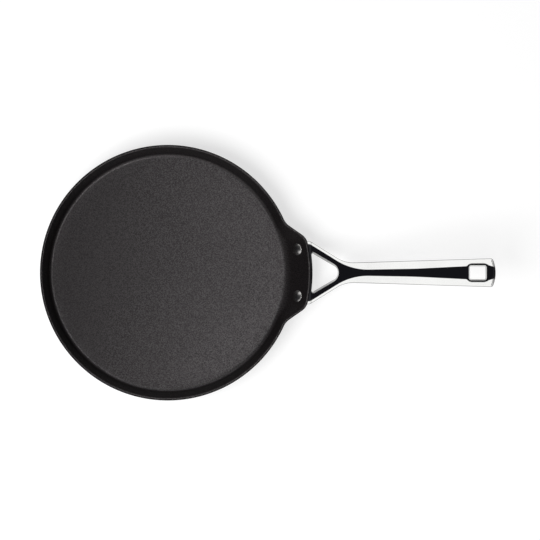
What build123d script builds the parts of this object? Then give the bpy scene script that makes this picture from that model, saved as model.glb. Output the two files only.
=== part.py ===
from build123d import *
import math
import os

# A shallow round pan with a widened lip, and a forked handle that two rivets hold to the lip.
# Lengths are millimetres and angles are degrees. The pan stands on the plane z = 0, the centre of
# its base is the origin, and the handle points along +X.

# Dish
rim_radius = 140.0
pan_height = 26.0
floor_thickness = 4.5
wall_thickness = 3.0
wall_run = 8.0
base_edge_run = 7.5
floor_edge_run = 3.7
rim_round = 1.3

# Lip that carries the handle, seen from above
lip_reach = 16.8
lip_width = 76.3
lip_flank_angle = 35.0
lip_neck_radius = 18.0
lip_shoulder_radius = 16.0

# Steel plate in the base, with rings of holes that the aluminium fills
plate_radius = 100.0
plate_thickness = 0.8
plate_hole_radius = 3.0
plate_inner_ring_radius = 32.0
plate_ring_pitch = 14.0
plate_hole_pitch = 16.5
plate_rim_margin = 8.0

# Rivets through the lip and the handle's seat
rivet_spacing = 51.4
rivet_height = 15.8
rivet_shank_radius = 3.0
rivet_hole_clearance = 0.1
rivet_head_radius = 6.6
rivet_head_rise = 2.5
rivet_tail_radius = 5.2
rivet_tail_rise = 2.0
rivet_seat_depth = 0.4
rivet_seat_clearance = 0.15

# Seat of the handle, which follows the outside of the lip
seat_gap = 0.2
seat_thickness = 2.6
seat_width = 66.0
seat_bottom = 5.5
seat_corner_radius = 5.0

# Course of the handle, seen from the side, with its length measured from the lip's front edge
handle_length = 201.1
handle_end_height = 70.0
handle_rise_angle = 25.0
handle_end_angle = 5.5
handle_bend_radius = 350.0
handle_root_radius = 8.0
handle_thickness = 8.0
fork_root_height = 21.5
fork_root_thickness = 5.7
fork_root_overhang = 0.5

# Width of the fork, the neck and the grip, seen from above; offsets are from the lip's front edge
fork_root_width = 69.4
fork_side_angle = 32.0
neck_width = 21.8
neck_offset = 37.1
neck_radius = 33.0
grip_width = 31.6
grip_end_radius = 2.5
grip_end_bulge = 3.9
fork_corner_radius = 6.0

# Section: a flat land on top, flanks that fall away from it, an upright edge and a bevel below
land_neck_width = 6.2
land_neck_offset = 44.4
land_waist_width = 8.6
land_waist_offset = 112.2
land_grip_width = 16.6
land_tip_width = 9.0
land_tip_length = 8.2
land_neck_radius = 64.0
land_waist_radius = 600.0
land_grip_radius = 4.0
fork_flank_width = 3.25
flank_angle = 27.5
edge_height = 1.2
belly_inset = 4.5

# Opening of the fork
opening_length = 28.6
opening_side_angle = 30.5
opening_tip_radius = 11.5
opening_corner_radius = 2.5

# Hanging hole and the flat collar round it
hang_hole_length = 19.4
hang_hole_width = 16.1
hang_hole_corner_radius = 2.5
hang_hole_end_distance = 10.1
hang_hole_draft = 9.0
collar_width = 2.1
collar_rise = 0.2

# Modelling
cut_overrun = 5.0
blank_stations = 47
arc_shares = (0.0, 0.2, 0.4, 0.6, 0.8, 1.0)
front_steps = 10
corner_steps = 4
round_limit_share = 0.45

# Places that follow from the sizes
wall_foot_radius = rim_radius - wall_run
rim_edge_round = min(rim_round, round_limit_share * wall_thickness)
rim_centre_height = pan_height - rim_edge_round
lip_radius = rim_radius + lip_reach
handle_reach = lip_radius + handle_length
neck_distance = lip_radius + neck_offset
land_neck_distance = lip_radius + land_neck_offset
land_waist_distance = lip_radius + land_waist_offset


def polar(radius, azimuth, height):
    angle = math.radians(azimuth)
    return Vector(radius * math.cos(angle), radius * math.sin(angle), height)


def azimuth_of(x, y):
    return math.degrees(math.atan2(y, x))


def circle_crossing(x, y, radius, azimuth, side):
    """Distance along an azimuth to a circle at (x, y), to its far side (1) or its near side (-1)."""
    angle = math.radians(azimuth)
    along = x * math.cos(angle) + y * math.sin(angle)
    across = x * math.sin(angle) - y * math.cos(angle)
    return along + side * math.sqrt(radius**2 - across**2)


def lay_out_lip():
    """Place the lip's flank between its shoulder and its neck, all tangent to each other."""
    angle = math.radians(lip_flank_angle)
    corner_y = lip_width / 2
    corner_x = math.sqrt(lip_radius**2 - corner_y**2)
    flank_distance = corner_x * math.sin(angle) + corner_y * math.cos(angle)
    centres = []
    for distance, radius in (
        (flank_distance - lip_shoulder_radius, lip_radius - lip_shoulder_radius),
        (flank_distance + lip_neck_radius, rim_radius + lip_neck_radius),
    ):
        along = math.sqrt(radius**2 - distance**2)
        centres.append(
            (
                distance * math.sin(angle) + along * math.cos(angle),
                distance * math.cos(angle) - along * math.sin(angle),
            )
        )
    (shoulder_x, shoulder_y), (neck_x, neck_y) = centres
    azimuths = (
        azimuth_of(shoulder_x, shoulder_y),
        azimuth_of(
            shoulder_x + lip_shoulder_radius * math.sin(angle),
            shoulder_y + lip_shoulder_radius * math.cos(angle),
        ),
        azimuth_of(
            neck_x - lip_neck_radius * math.sin(angle),
            neck_y - lip_neck_radius * math.cos(angle),
        ),
        azimuth_of(neck_x, neck_y),
    )
    return flank_distance, centres[0], centres[1], azimuths


flank_distance, shoulder_centre, neck_centre, lip_azimuths = lay_out_lip()
front_end, shoulder_end, flank_end, neck_end = lip_azimuths


def rim_outline(azimuth):
    """Radius of the rim's outermost edge at an azimuth."""
    turn = abs(azimuth)
    if turn <= front_end:
        return lip_radius
    if turn <= shoulder_end:
        return circle_crossing(*shoulder_centre, lip_shoulder_radius, turn, 1)
    if turn <= flank_end:
        return flank_distance / math.sin(math.radians(lip_flank_angle + turn))
    if turn < neck_end:
        return circle_crossing(*neck_centre, lip_neck_radius, turn, -1)
    return rim_radius


def wall_angle(azimuth):
    """Slope of the wall, in radians, from its foot to where it touches the rounded rim."""
    run = rim_outline(azimuth) - rim_edge_round - wall_foot_radius
    reach = math.hypot(run, rim_centre_height)
    return math.atan2(rim_centre_height, run) - math.asin(rim_edge_round / reach)


def outer_line(azimuth, height, offset=0.0):
    """Radius of the straight outer wall, moved outward by an offset across the wall."""
    slope = wall_angle(azimuth)
    return wall_foot_radius + height / math.tan(slope) + offset / math.sin(slope)


def inner_line(azimuth, height):
    return outer_line(azimuth, height, -wall_thickness)


plain_azimuth = 180.0
base_flat_radius = wall_foot_radius - base_edge_run
floor_flat_radius = inner_line(plain_azimuth, floor_thickness) - floor_edge_run


def edge_arc(azimuth, corner_radius, flat_radius):
    """Radius and height of the arc that joins a level face to the wall."""
    slope = wall_angle(azimuth)
    radius = (corner_radius - flat_radius) / math.tan(slope / 2)
    return radius, radius * (1 - math.cos(slope))


def outer_radius(azimuth, height):
    """Radius of the outside: base edge, wall and outer half of the rim."""
    slope = wall_angle(azimuth)
    arc, arc_height = edge_arc(azimuth, wall_foot_radius, base_flat_radius)
    if height < arc_height:
        return base_flat_radius + math.sqrt(max(arc**2 - (arc - height) ** 2, 0))
    rise = height - rim_centre_height
    if rise > -rim_edge_round * math.cos(slope):
        centre = rim_outline(azimuth) - rim_edge_round
        return centre + math.sqrt(max(rim_edge_round**2 - rise**2, 0))
    return outer_line(azimuth, height)


def inner_radius(azimuth, height):
    """Radius of the inside: floor edge, wall and inner half of the rim."""
    slope = wall_angle(azimuth)
    corner = inner_line(azimuth, floor_thickness)
    arc, arc_height = edge_arc(azimuth, corner, floor_flat_radius)
    above_floor = height - floor_thickness
    if above_floor < arc_height:
        return floor_flat_radius + math.sqrt(max(arc**2 - (arc - above_floor) ** 2, 0))
    rise = height - rim_centre_height
    if rise > rim_edge_round * math.cos(slope):
        centre = inner_line(azimuth, rim_centre_height) + rim_edge_round / math.sin(slope)
        return centre - math.sqrt(max(rim_edge_round**2 - rise**2, 0))
    return inner_line(azimuth, height)


def section_azimuths():
    """Azimuths across the lip, closer together where its outline bends."""
    turns = []
    pieces = (
        (-neck_end, -flank_end, corner_steps),
        (-flank_end, -shoulder_end, corner_steps),
        (-shoulder_end, -front_end, corner_steps),
        (-front_end, front_end, front_steps),
        (front_end, shoulder_end, corner_steps),
        (shoulder_end, flank_end, corner_steps),
        (flank_end, neck_end, corner_steps),
    )
    for start, end, steps in pieces:
        turns += [start + (end - start) * step / steps for step in range(steps)]
    return turns + [neck_end]


def ring(radius_at, height):
    """Closed level outline: one curve across the lip and one arc round the rest."""
    points = [polar(radius_at(turn, height), turn, height) for turn in section_azimuths()]
    angle = math.radians(neck_end)
    across = Spline(
        *points,
        tangents=(
            (math.sin(angle), math.cos(angle), 0),
            (-math.sin(angle), math.cos(angle), 0),
        ),
    )
    back = polar(radius_at(plain_azimuth, height), plain_azimuth, height)
    return Wire([across, ThreePointArc(points[-1], back, points[0])])


def stacked(radius_at, heights, ruled=False):
    return Solid.make_loft([ring(radius_at, height) for height in heights], ruled)


def arc_heights(start, centre, radius, first_angle, last_angle):
    """Heights that share an arc out evenly by its angle, measured up from level."""
    angles = [first_angle + (last_angle - first_angle) * share for share in arc_shares]
    heights = [centre + radius * math.sin(angle) for angle in angles]
    return [start] + heights[1:]


def dish_blank():
    """Outside of the pan, filled."""
    slope = wall_angle(plain_azimuth)
    arc, arc_height = edge_arc(plain_azimuth, wall_foot_radius, base_flat_radius)
    foot = arc_heights(0.0, arc, arc, -math.pi / 2, slope - math.pi / 2)
    rim_start = rim_centre_height - rim_edge_round * math.cos(wall_angle(0.0))
    first = wall_angle(0.0) - math.pi / 2
    rim = arc_heights(rim_start, rim_centre_height, rim_edge_round, first, math.pi / 2)
    edge = stacked(outer_radius, foot)
    wall = stacked(outer_radius, [foot[-1], rim_start], ruled=True)
    top = stacked(outer_radius, rim)
    return edge + wall + top


def dish_hollow():
    """Inside of the pan, from its floor to above its rim."""
    lip_slope = wall_angle(0.0)
    corner = inner_line(0.0, floor_thickness)
    arc, arc_height = edge_arc(0.0, corner, floor_flat_radius)
    centre = floor_thickness + arc
    foot = arc_heights(floor_thickness, centre, arc, -math.pi / 2, lip_slope - math.pi / 2)
    first = math.pi / 2 - wall_angle(plain_azimuth)
    rim_start = rim_centre_height + rim_edge_round * math.sin(first)
    rim = arc_heights(rim_start, rim_centre_height, rim_edge_round, first, math.pi / 2)
    edge = stacked(inner_radius, foot)
    wall = stacked(inner_radius, [foot[-1], rim_start], ruled=True)
    top = stacked(inner_radius, rim)
    above = extrude(make_face(ring(inner_radius, pan_height)), cut_overrun)
    return edge + wall + top + above


def plate_hole_places():
    """Rings of holes, each ring with as many as keep the pitch."""
    places = []
    radius = plate_inner_ring_radius
    while radius <= plate_radius - plate_rim_margin:
        count = max(3, round(2 * math.pi * radius / plate_hole_pitch))
        places += [polar(radius, 360 * index / count, 0.0) for index in range(count)]
        radius += plate_ring_pitch
    return places


def induction_plate():
    disc = Cylinder(plate_radius, plate_thickness, align=(Align.CENTER, Align.CENTER, Align.MIN))
    hole = Circle(plate_hole_radius)
    holes = Sketch() + [Pos(place) * hole for place in plate_hole_places()]
    return disc - extrude(holes, plate_thickness)


def rivet_frame(side):
    """Plane on the inner wall at a rivet, with its normal pointing out through the wall."""
    radius = inner_line(0.0, rivet_height)
    azimuth = side * math.degrees(math.asin(rivet_spacing / 2 / radius))
    slope = wall_angle(azimuth)
    outward = polar(math.sin(slope), azimuth, -math.cos(slope))
    return Plane(origin=polar(radius, azimuth, rivet_height), z_dir=outward)


rivet_grip = wall_thickness + seat_gap + seat_thickness - 2 * rivet_seat_depth


def rivet_axis_cut(radius, start, end):
    disc = Pos(0, 0, start) * Cylinder(
        radius, end - start, align=(Align.CENTER, Align.CENTER, Align.MIN)
    )
    return disc


def rivet_room(side):
    """Hole for the shank and level seats for both heads."""
    hole_radius = rivet_shank_radius + rivet_hole_clearance
    outside = rivet_seat_depth + rivet_grip
    hole = rivet_axis_cut(hole_radius, -cut_overrun, outside + cut_overrun)
    inner_seat = rivet_axis_cut(
        rivet_head_radius + rivet_seat_clearance, -rivet_head_rise, rivet_seat_depth
    )
    outer_seat = rivet_axis_cut(
        rivet_tail_radius + rivet_seat_clearance, outside, outside + rivet_tail_rise
    )
    return rivet_frame(side) * (hole + inner_seat + outer_seat)


def rivet(side):
    """Domed head inside the pan, shank, and formed tail outside the handle's seat."""
    start = rivet_seat_depth
    end = start + rivet_grip
    head_arc = (rivet_head_radius**2 + rivet_head_rise**2) / (2 * rivet_head_rise)
    tail_arc = (rivet_tail_radius**2 + rivet_tail_rise**2) / (2 * rivet_tail_rise)
    profile = make_face(
        [
            Line((0, start - rivet_head_rise), (0, end + rivet_tail_rise)),
            RadiusArc((0, end + rivet_tail_rise), (rivet_tail_radius, end), tail_arc),
            Line((rivet_tail_radius, end), (rivet_shank_radius, end)),
            Line((rivet_shank_radius, end), (rivet_shank_radius, start)),
            Line((rivet_shank_radius, start), (rivet_head_radius, start)),
            RadiusArc((rivet_head_radius, start), (0, start - rivet_head_rise), head_arc),
        ]
    )
    return rivet_frame(side) * revolve(Plane.XZ * profile, Axis.Z)


def pan_body():
    body = dish_blank() - dish_hollow() - induction_plate()
    for side in (1, -1):
        body -= rivet_room(side)
    return body


def bent_line(x, corners, radii):
    """Height at x of a line through corners, each inner corner rounded by its radius."""
    for (x0, y0), (x1, y1), (x2, y2), radius in zip(corners, corners[1:], corners[2:], radii):
        before = math.atan2(y1 - y0, x1 - x0)
        after = math.atan2(y2 - y1, x2 - x1)
        turn = after - before
        reach = radius * math.tan(abs(turn) / 2)
        start = x1 - reach * math.cos(before)
        if start <= x <= x1 + reach * math.cos(after):
            side = math.copysign(1, turn)
            centre_x = start - side * radius * math.sin(before)
            centre_y = y1 - reach * math.sin(before) + side * radius * math.cos(before)
            return centre_y - side * math.sqrt(radius**2 - (x - centre_x) ** 2)
    for (x0, y0), (x1, y1) in zip(corners, corners[1:]):
        if x <= x1 or (x1, y1) == corners[-1]:
            return y0 + (y1 - y0) * (x - x0) / (x1 - x0)


blank_start = inner_line(0.0, seat_bottom)
blank_end = handle_reach + cut_overrun
fork_start = outer_line(0.0, fork_root_height, seat_gap + seat_thickness) + fork_root_overhang


def top_height(x):
    """Height of the land: level over the seat, then the fork's rise, then the gentler grip."""
    rise = math.tan(math.radians(handle_rise_angle))
    fall = math.tan(math.radians(handle_end_angle))
    level_gap = handle_end_height - fork_root_height - fall * (handle_reach - fork_start)
    bend = fork_start + level_gap / (rise - fall)
    corners = (
        (blank_start, fork_root_height),
        (fork_start, fork_root_height),
        (bend, fork_root_height + rise * (bend - fork_start)),
        (blank_end, handle_end_height + fall * (blank_end - handle_reach)),
    )
    return bent_line(x, corners, (handle_root_radius, handle_bend_radius))


def bottom_height(x):
    return max(top_height(x) - handle_thickness, fork_root_height - fork_root_thickness)


def half_width(x):
    """Half of the handle's width: the seat, the fork's sides and the widening grip."""
    slope = math.tan(math.radians(fork_side_angle))
    root = neck_distance - (fork_root_width - neck_width) / 2 / slope
    growth = (grip_width - neck_width) / 2 / (handle_reach - neck_distance)
    corners = (
        (blank_start, fork_root_width / 2),
        (root, fork_root_width / 2),
        (neck_distance, neck_width / 2),
        (blank_end, neck_width / 2 + growth * (blank_end - neck_distance)),
    )
    return bent_line(x, corners, (fork_corner_radius, neck_radius))


def land_half_width(x):
    """Half of the land's width, which runs beside the fork's sides and then along the grip."""
    slope = math.tan(math.radians(fork_side_angle))
    root = neck_distance - (fork_root_width - neck_width) / 2 / slope
    start = fork_root_width / 2 - fork_flank_width
    corners = (
        (blank_start, start),
        (root, start),
        (land_neck_distance, land_neck_width / 2),
        (land_waist_distance, land_waist_width / 2),
        (handle_reach - land_tip_length, land_grip_width / 2),
        (blank_end, land_tip_width / 2),
    )
    radii = (fork_corner_radius, land_neck_radius, land_waist_radius, land_grip_radius)
    return bent_line(x, corners, radii)


def handle_section(x):
    top = top_height(x)
    half = half_width(x)
    land = min(land_half_width(x), half - fork_flank_width)
    foot = top - (half - land) * math.tan(math.radians(flank_angle))
    edge = foot - edge_height
    bottom = bottom_height(x)
    side = [
        (land, top),
        (half, foot),
        (half, edge if edge > bottom else (foot + bottom) / 2),
        (half - belly_inset, bottom),
    ]
    points = side + [(-y, z) for y, z in reversed(side)]
    return Wire.make_polygon([Vector(x, y, z) for y, z in points], close=True)


def grip_blank():
    """Fork and grip as one length, before its openings are cut."""
    step = (blank_end - blank_start) / (blank_stations - 1)
    stations = [blank_start + step * index for index in range(blank_stations)]
    return Solid.make_loft([handle_section(x) for x in stations])


def end_shape():
    """Plan of the handle's far end, with rounded corners and a slight bulge."""
    half = half_width(handle_reach)
    corner_x = handle_reach - grip_end_bulge
    wide = fork_root_width
    outline = make_face(
        [
            Line((0, half), (corner_x, half)),
            ThreePointArc((corner_x, half), (handle_reach, 0), (corner_x, -half)),
            Line((corner_x, -half), (0, -half)),
            Line((0, -half), (0, half)),
        ]
    )
    corners = outline.vertices().group_by(Axis.X)[-1]
    end = fillet(corners, grip_end_radius)
    fork_box = Pos(neck_distance - wide, 0) * Rectangle(2 * wide, 2 * wide)
    return extrude(end + fork_box, handle_end_height + 2 * cut_overrun)


def hang_hole_place():
    x = handle_reach - hang_hole_end_distance - hang_hole_length / 2
    return Pos(x, 0, top_height(x))


def hang_hole():
    """Hole that narrows downward."""
    outline = RectangleRounded(hang_hole_length, hang_hole_width, hang_hole_corner_radius)
    tilt = Rot(0, -handle_end_angle, 0)
    depth = handle_thickness + cut_overrun
    down = extrude(outline, -depth, taper=hang_hole_draft)
    return hang_hole_place() * tilt * (down + extrude(outline, cut_overrun))


def collar():
    """Flat border round the hanging hole, at the height of the land, and on to the tip."""
    length = hang_hole_length + 2 * collar_width
    width = hang_hole_width + 2 * collar_width
    corner = hang_hole_corner_radius + collar_width
    border = RectangleRounded(length, width, corner)
    tilt = Rot(0, -handle_end_angle, 0)
    raised = Pos(0, 0, collar_rise) * extrude(border, -handle_thickness / 2)
    return hang_hole_place() * tilt * raised


def fork_opening():
    """Three-sided opening with a rounded tip, upright through the fork."""
    slope = math.radians(opening_side_angle)
    tip = fork_start + opening_length
    apex = tip - opening_tip_radius + opening_tip_radius / math.sin(slope)
    spread = (apex - fork_start) * math.tan(slope)
    corner_x = fork_start
    for _ in range(corner_steps):
        corner_x = math.sqrt(fork_start**2 - spread**2)
        spread = (apex - corner_x) * math.tan(slope)
    corner_x = math.sqrt(fork_start**2 - spread**2)
    outline = make_face(
        [
            ThreePointArc((corner_x, -spread), (fork_start, 0), (corner_x, spread)),
            Line((corner_x, spread), (apex, 0)),
            Line((apex, 0), (corner_x, -spread)),
        ]
    )
    outline = fillet(outline.vertices().sort_by(Axis.X)[-1], opening_tip_radius)
    outline = fillet(outline.vertices().group_by(Axis.X)[0], opening_corner_radius)
    return extrude(outline, handle_end_height)


def seat():
    """Curved pad that lies against the outside of the lip."""
    def pad_radius(turn, height):
        return outer_line(turn, height, seat_gap + seat_thickness)

    shell = stacked(pad_radius, [0.0, pan_height], ruled=True)
    top = fork_root_height - fork_root_thickness / 2
    front = Plane(origin=(0, 0, top), x_dir=(0, 1, 0), z_dir=(1, 0, 0))
    outline = Rectangle(seat_width, top - seat_bottom, align=(Align.CENTER, Align.MAX))
    outline = fillet(outline.vertices().group_by(Axis.Y)[0], seat_corner_radius)
    return shell & extrude(front * outline, handle_reach)


def handle():
    def gap_radius(turn, height):
        return outer_line(turn, height, seat_gap)

    pan_room = stacked(gap_radius, [0.0, pan_height], ruled=True)
    shape = (grip_blank() & end_shape()) + collar() - hang_hole() - fork_opening()
    shape = shape + seat() - pan_room
    for side in (1, -1):
        shape -= rivet_room(side)
    return shape


pieces = {
    "pan_body": pan_body(),
    "induction_plate": induction_plate(),
    "handle": handle(),
    "rivet_upper": rivet(1),
    "rivet_lower": rivet(-1),
}
for name, piece in pieces.items():
    export_step(piece, f"parts/{name}.step")
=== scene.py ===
import math

import bmesh
import bpy
from mathutils import Matrix, Vector


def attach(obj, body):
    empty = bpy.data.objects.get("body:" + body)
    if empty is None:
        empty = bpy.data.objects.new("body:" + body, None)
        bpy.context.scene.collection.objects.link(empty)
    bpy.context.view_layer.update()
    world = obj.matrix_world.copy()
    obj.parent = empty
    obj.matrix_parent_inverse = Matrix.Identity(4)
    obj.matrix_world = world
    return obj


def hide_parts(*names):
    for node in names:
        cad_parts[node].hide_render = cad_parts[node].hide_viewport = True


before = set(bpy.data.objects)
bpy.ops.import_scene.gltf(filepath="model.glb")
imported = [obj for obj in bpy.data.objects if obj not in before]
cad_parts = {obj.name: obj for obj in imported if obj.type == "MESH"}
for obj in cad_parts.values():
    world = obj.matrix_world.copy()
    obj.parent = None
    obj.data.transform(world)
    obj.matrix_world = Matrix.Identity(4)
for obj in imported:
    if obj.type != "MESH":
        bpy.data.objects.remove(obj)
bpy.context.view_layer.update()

bl_info = {
    "name": "Crepe Pan",
    "version": (1, 0, 0),
    "blender": (4, 5, 0),
    "location": "3D View > Sidebar > Crepe Pan",
    "description": "Dresses a crepe pan with a coated dish, a perforated base plate and a polished handle",
    "category": "Object",
}

# How finely round parts are divided, how near points are merged, most of an edge that its rounding
# takes, and the direction to the left of the handle seen from above

HOLE_SIDES = 28
PLATE_SIDES = 240
SHANK_SIDES = 32
DOME_SIDES = 56
DOME_STEPS = 14
MERGE_DISTANCE = 2e-6
FINE_MERGE_DISTANCE = 1e-6
SLIVER = 1e-7
SAME_PLACE = 1e-9
ROUNDED_SHARE = 0.45
SIDEWAYS = Vector((0.0, 1.0))


# Settings that a user would change


def number(name, default, description, **limits):
    return bpy.props.FloatProperty(name=name, description=description, default=default, **limits)


def length(name, default, description):
    return number(name, default, description, min=0.0, precision=5, subtype="DISTANCE", unit="LENGTH")


def angle(name, degrees, description):
    return number(name, math.radians(degrees), description, precision=4, subtype="ANGLE", unit="ROTATION")


def share(name, default, description, highest=1.0):
    return number(name, default, description, min=0.0, max=highest, subtype="FACTOR")


def power(name, default, description):
    return number(name, default, description, min=0.0, unit="POWER")


def colour(name, default, description):
    return bpy.props.FloatVectorProperty(
        name=name, description=description, default=default, size=3, min=0.0, max=1.0, subtype="COLOR"
    )


def count(name, default, description):
    return bpy.props.IntProperty(name=name, description=description, default=default, min=3)


class DishSettings(bpy.types.PropertyGroup):
    """Sizes and colours of the dish and its lip"""

    rim_radius: length("Rim Radius", 0.140, "Radius of the rim away from the lip")
    height: length("Height", 0.026, "Height of the rim above the worktop")
    floor_thickness: length("Floor Thickness", 0.0045, "Thickness of the cooking surface")
    wall_thickness: length("Wall Thickness", 0.003, "Thickness of the wall")
    wall_run: length("Wall Run", 0.008, "How far the wall leans out on its way up")
    base_edge_run: length("Base Edge Run", 0.0075, "Width of the rounded edge of the base")
    floor_edge_run: length("Floor Edge Run", 0.0037, "Width of the rounded edge of the floor")
    rim_round: length("Rim Round", 0.0013, "Radius of the rounded rim")
    lip_reach: length("Lip Reach", 0.0168, "How far the lip reaches past the rim")
    lip_width: length("Lip Width", 0.0763, "Width of the lip where its flanks meet its front")
    lip_flank_angle: angle("Lip Flank Angle", 35.0, "Angle between the flanks and the handle")
    lip_neck_radius: length("Lip Neck Radius", 0.018, "Hollow bend between the rim and a flank")
    lip_shoulder_radius: length("Lip Shoulder Radius", 0.016, "Bend between a flank and the front")
    coating: colour("Coating", (0.0054, 0.0045, 0.0047), "Non-stick coating inside")
    coating_fleck: colour("Coating Fleck", (0.0086, 0.0073, 0.0076), "Flecks in the coating")
    outside: colour("Outside", (0.024, 0.0235, 0.024), "Hard coat on the outside")
    bare_metal: colour("Bare Metal", (0.62, 0.62, 0.63), "Turned aluminium of the base")


class PlateSettings(bpy.types.PropertyGroup):
    """Sizes and colour of the steel plate in the base"""

    radius: length("Radius", 0.100, "Radius of the steel plate")
    thickness: length("Thickness", 0.0008, "Thickness of the steel plate")
    hole_radius: length("Hole Radius", 0.003, "Radius of each hole")
    inner_ring_radius: length("Inner Ring Radius", 0.032, "Radius of the first ring of holes")
    ring_pitch: length("Ring Pitch", 0.014, "Distance between rings of holes")
    hole_pitch: length("Hole Pitch", 0.0165, "Distance between holes along a ring")
    rings: count("Rings", 5, "Number of rings of holes")
    seam: length("Seam", 0.00012, "Gap between the steel and the aluminium")
    steel: colour("Steel", (0.50, 0.49, 0.475), "Turned magnetic steel")


class RivetSettings(bpy.types.PropertyGroup):
    """Sizes and colour of the two rivets"""

    spacing: length("Spacing", 0.0514, "Distance between the rivets across the lip")
    height: length("Height", 0.0158, "Height of the rivets on the inner wall")
    shank_radius: length("Shank Radius", 0.003, "Radius of the shank")
    head_radius: length("Head Radius", 0.0066, "Radius of the domed head inside the dish")
    head_rise: length("Head Rise", 0.0025, "Height of the domed head")
    tail_radius: length("Tail Radius", 0.0052, "Radius of the formed tail outside")
    tail_rise: length("Tail Rise", 0.002, "Height of the formed tail")
    seat_depth: length("Seat Depth", 0.0004, "How deep head and tail sit in the metal")
    edge: length("Edge", 0.0005, "Height of the upright edge of head and tail")
    steel: colour("Steel", (0.52, 0.51, 0.50), "Polished rivet steel")


class HandleSettings(bpy.types.PropertyGroup):
    """Sizes and colour of the handle"""

    length: length("Length", 0.2011, "Length past the front of the lip")
    end_height: length("End Height", 0.070, "Height of the land at the far end")
    rise_angle: angle("Rise Angle", 25.0, "Slope of the fork")
    end_angle: angle("End Angle", 5.5, "Slope of the grip")
    bend_radius: length("Bend Radius", 0.350, "Bend between fork and grip")
    root_radius: length("Root Radius", 0.008, "Bend between the seat and the fork")
    thickness: length("Thickness", 0.008, "Thickness of the handle")
    root_height: length("Root Height", 0.0215, "Height of the fork's root")
    root_thickness: length("Root Thickness", 0.0057, "Thickness of the fork's root")
    root_overhang: length("Root Overhang", 0.0005, "Metal between the seat and the opening")
    root_width: length("Root Width", 0.0694, "Width of the fork's root")
    side_angle: angle("Side Angle", 32.0, "Angle of the fork's sides")
    neck_width: length("Neck Width", 0.0218, "Width where the fork ends")
    neck_offset: length("Neck Offset", 0.0371, "Distance from the lip to the neck")
    neck_radius: length("Neck Radius", 0.033, "Hollow bend at the neck")
    grip_width: length("Grip Width", 0.0316, "Width of the far end")
    end_radius: length("End Radius", 0.0025, "Rounded corners of the far end")
    end_bulge: length("End Bulge", 0.0039, "How far the far end swells")
    fork_corner_radius: length("Fork Corner Radius", 0.006, "Bend at the fork's widest place")
    land_neck_width: length("Land Neck Width", 0.0062, "Width of the flat land at the neck")
    land_neck_offset: length("Land Neck Offset", 0.0444, "Distance from the lip to that place")
    land_waist_width: length("Land Waist Width", 0.0086, "Width of the land where it starts to widen")
    land_waist_offset: length("Land Waist Offset", 0.1122, "Distance from the lip to that place")
    land_grip_width: length("Land Grip Width", 0.0166, "Width of the land at the hanging hole")
    land_tip_width: length("Land Tip Width", 0.0114, "Width of the land at the far end")
    land_tip_length: length("Land Tip Length", 0.0082, "Length of the land's taper at the end")
    land_neck_radius: length("Land Neck Radius", 0.064, "Bend of the land at the neck")
    land_waist_radius: length("Land Waist Radius", 0.6, "Bend of the land where it starts to widen")
    land_grip_radius: length("Land Grip Radius", 0.004, "Bend of the land at the hanging hole")
    fork_flank_width: length("Fork Flank Width", 0.00325, "Least width of the flanks")
    flank_angle: angle("Flank Angle", 27.5, "Slope of the flanks")
    edge_height: length("Edge Height", 0.0012, "Height of the upright edge")
    belly_inset: length("Belly Inset", 0.0045, "How far the underside is drawn in")
    opening_length: length("Opening Length", 0.0286, "Length of the opening in the fork")
    opening_side_angle: angle("Opening Side Angle", 30.5, "Angle of the opening's sides")
    opening_tip_radius: length("Opening Tip Radius", 0.0115, "Rounded tip of the opening")
    opening_corner_radius: length("Opening Corner Radius", 0.0025, "Corners of the opening")
    opening_draft: length("Opening Draft", 0.0021, "How much the sides of the opening narrow downward")
    opening_tip_draft: length("Opening Tip Draft", 0.001, "How much its tip narrows downward")
    opening_near_draft: length("Opening Near Draft", 0.0002, "How much its near side narrows downward")
    hole_length: length("Hole Length", 0.0194, "Length of the hanging hole")
    hole_width: length("Hole Width", 0.0161, "Width of the hanging hole")
    hole_corner_radius: length("Hole Corner Radius", 0.0025, "Corners of the hanging hole")
    hole_end_distance: length("Hole End Distance", 0.0101, "Metal between the hole and the end")
    hole_draft: length("Hole Draft", 0.00127, "How much the hanging hole narrows downward")
    collar_width: length("Collar Width", 0.0021, "Width of the flat border round the hole")
    collar_corner_radius: length("Collar Corner Radius", 0.0055, "Outer corners of that border")
    collar_blend: length("Collar Blend", 0.003, "How softly the land flares into that border")
    land_softness: length("Land Softness", 0.0002, "Softness of the land's edges")
    side_softness: length("Side Softness", 0.0010, "Softness of the handle's sides")
    end_softness: length("End Softness", 0.0027, "Softness of the far end")
    hole_softness: length("Hole Softness", 0.0002, "Softness of the edges of both openings")
    seat_gap: length("Seat Gap", 0.0002, "Gap between the seat and the lip")
    seat_thickness: length("Seat Thickness", 0.0026, "Thickness of the seat")
    seat_width: length("Seat Width", 0.066, "Width of the seat")
    seat_bottom: length("Seat Bottom", 0.0055, "Height of the seat's lower edge")
    seat_corner_radius: length("Seat Corner Radius", 0.005, "Corners of the seat")
    steel: colour("Steel", (0.80, 0.80, 0.79), "Polished handle steel")


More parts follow.
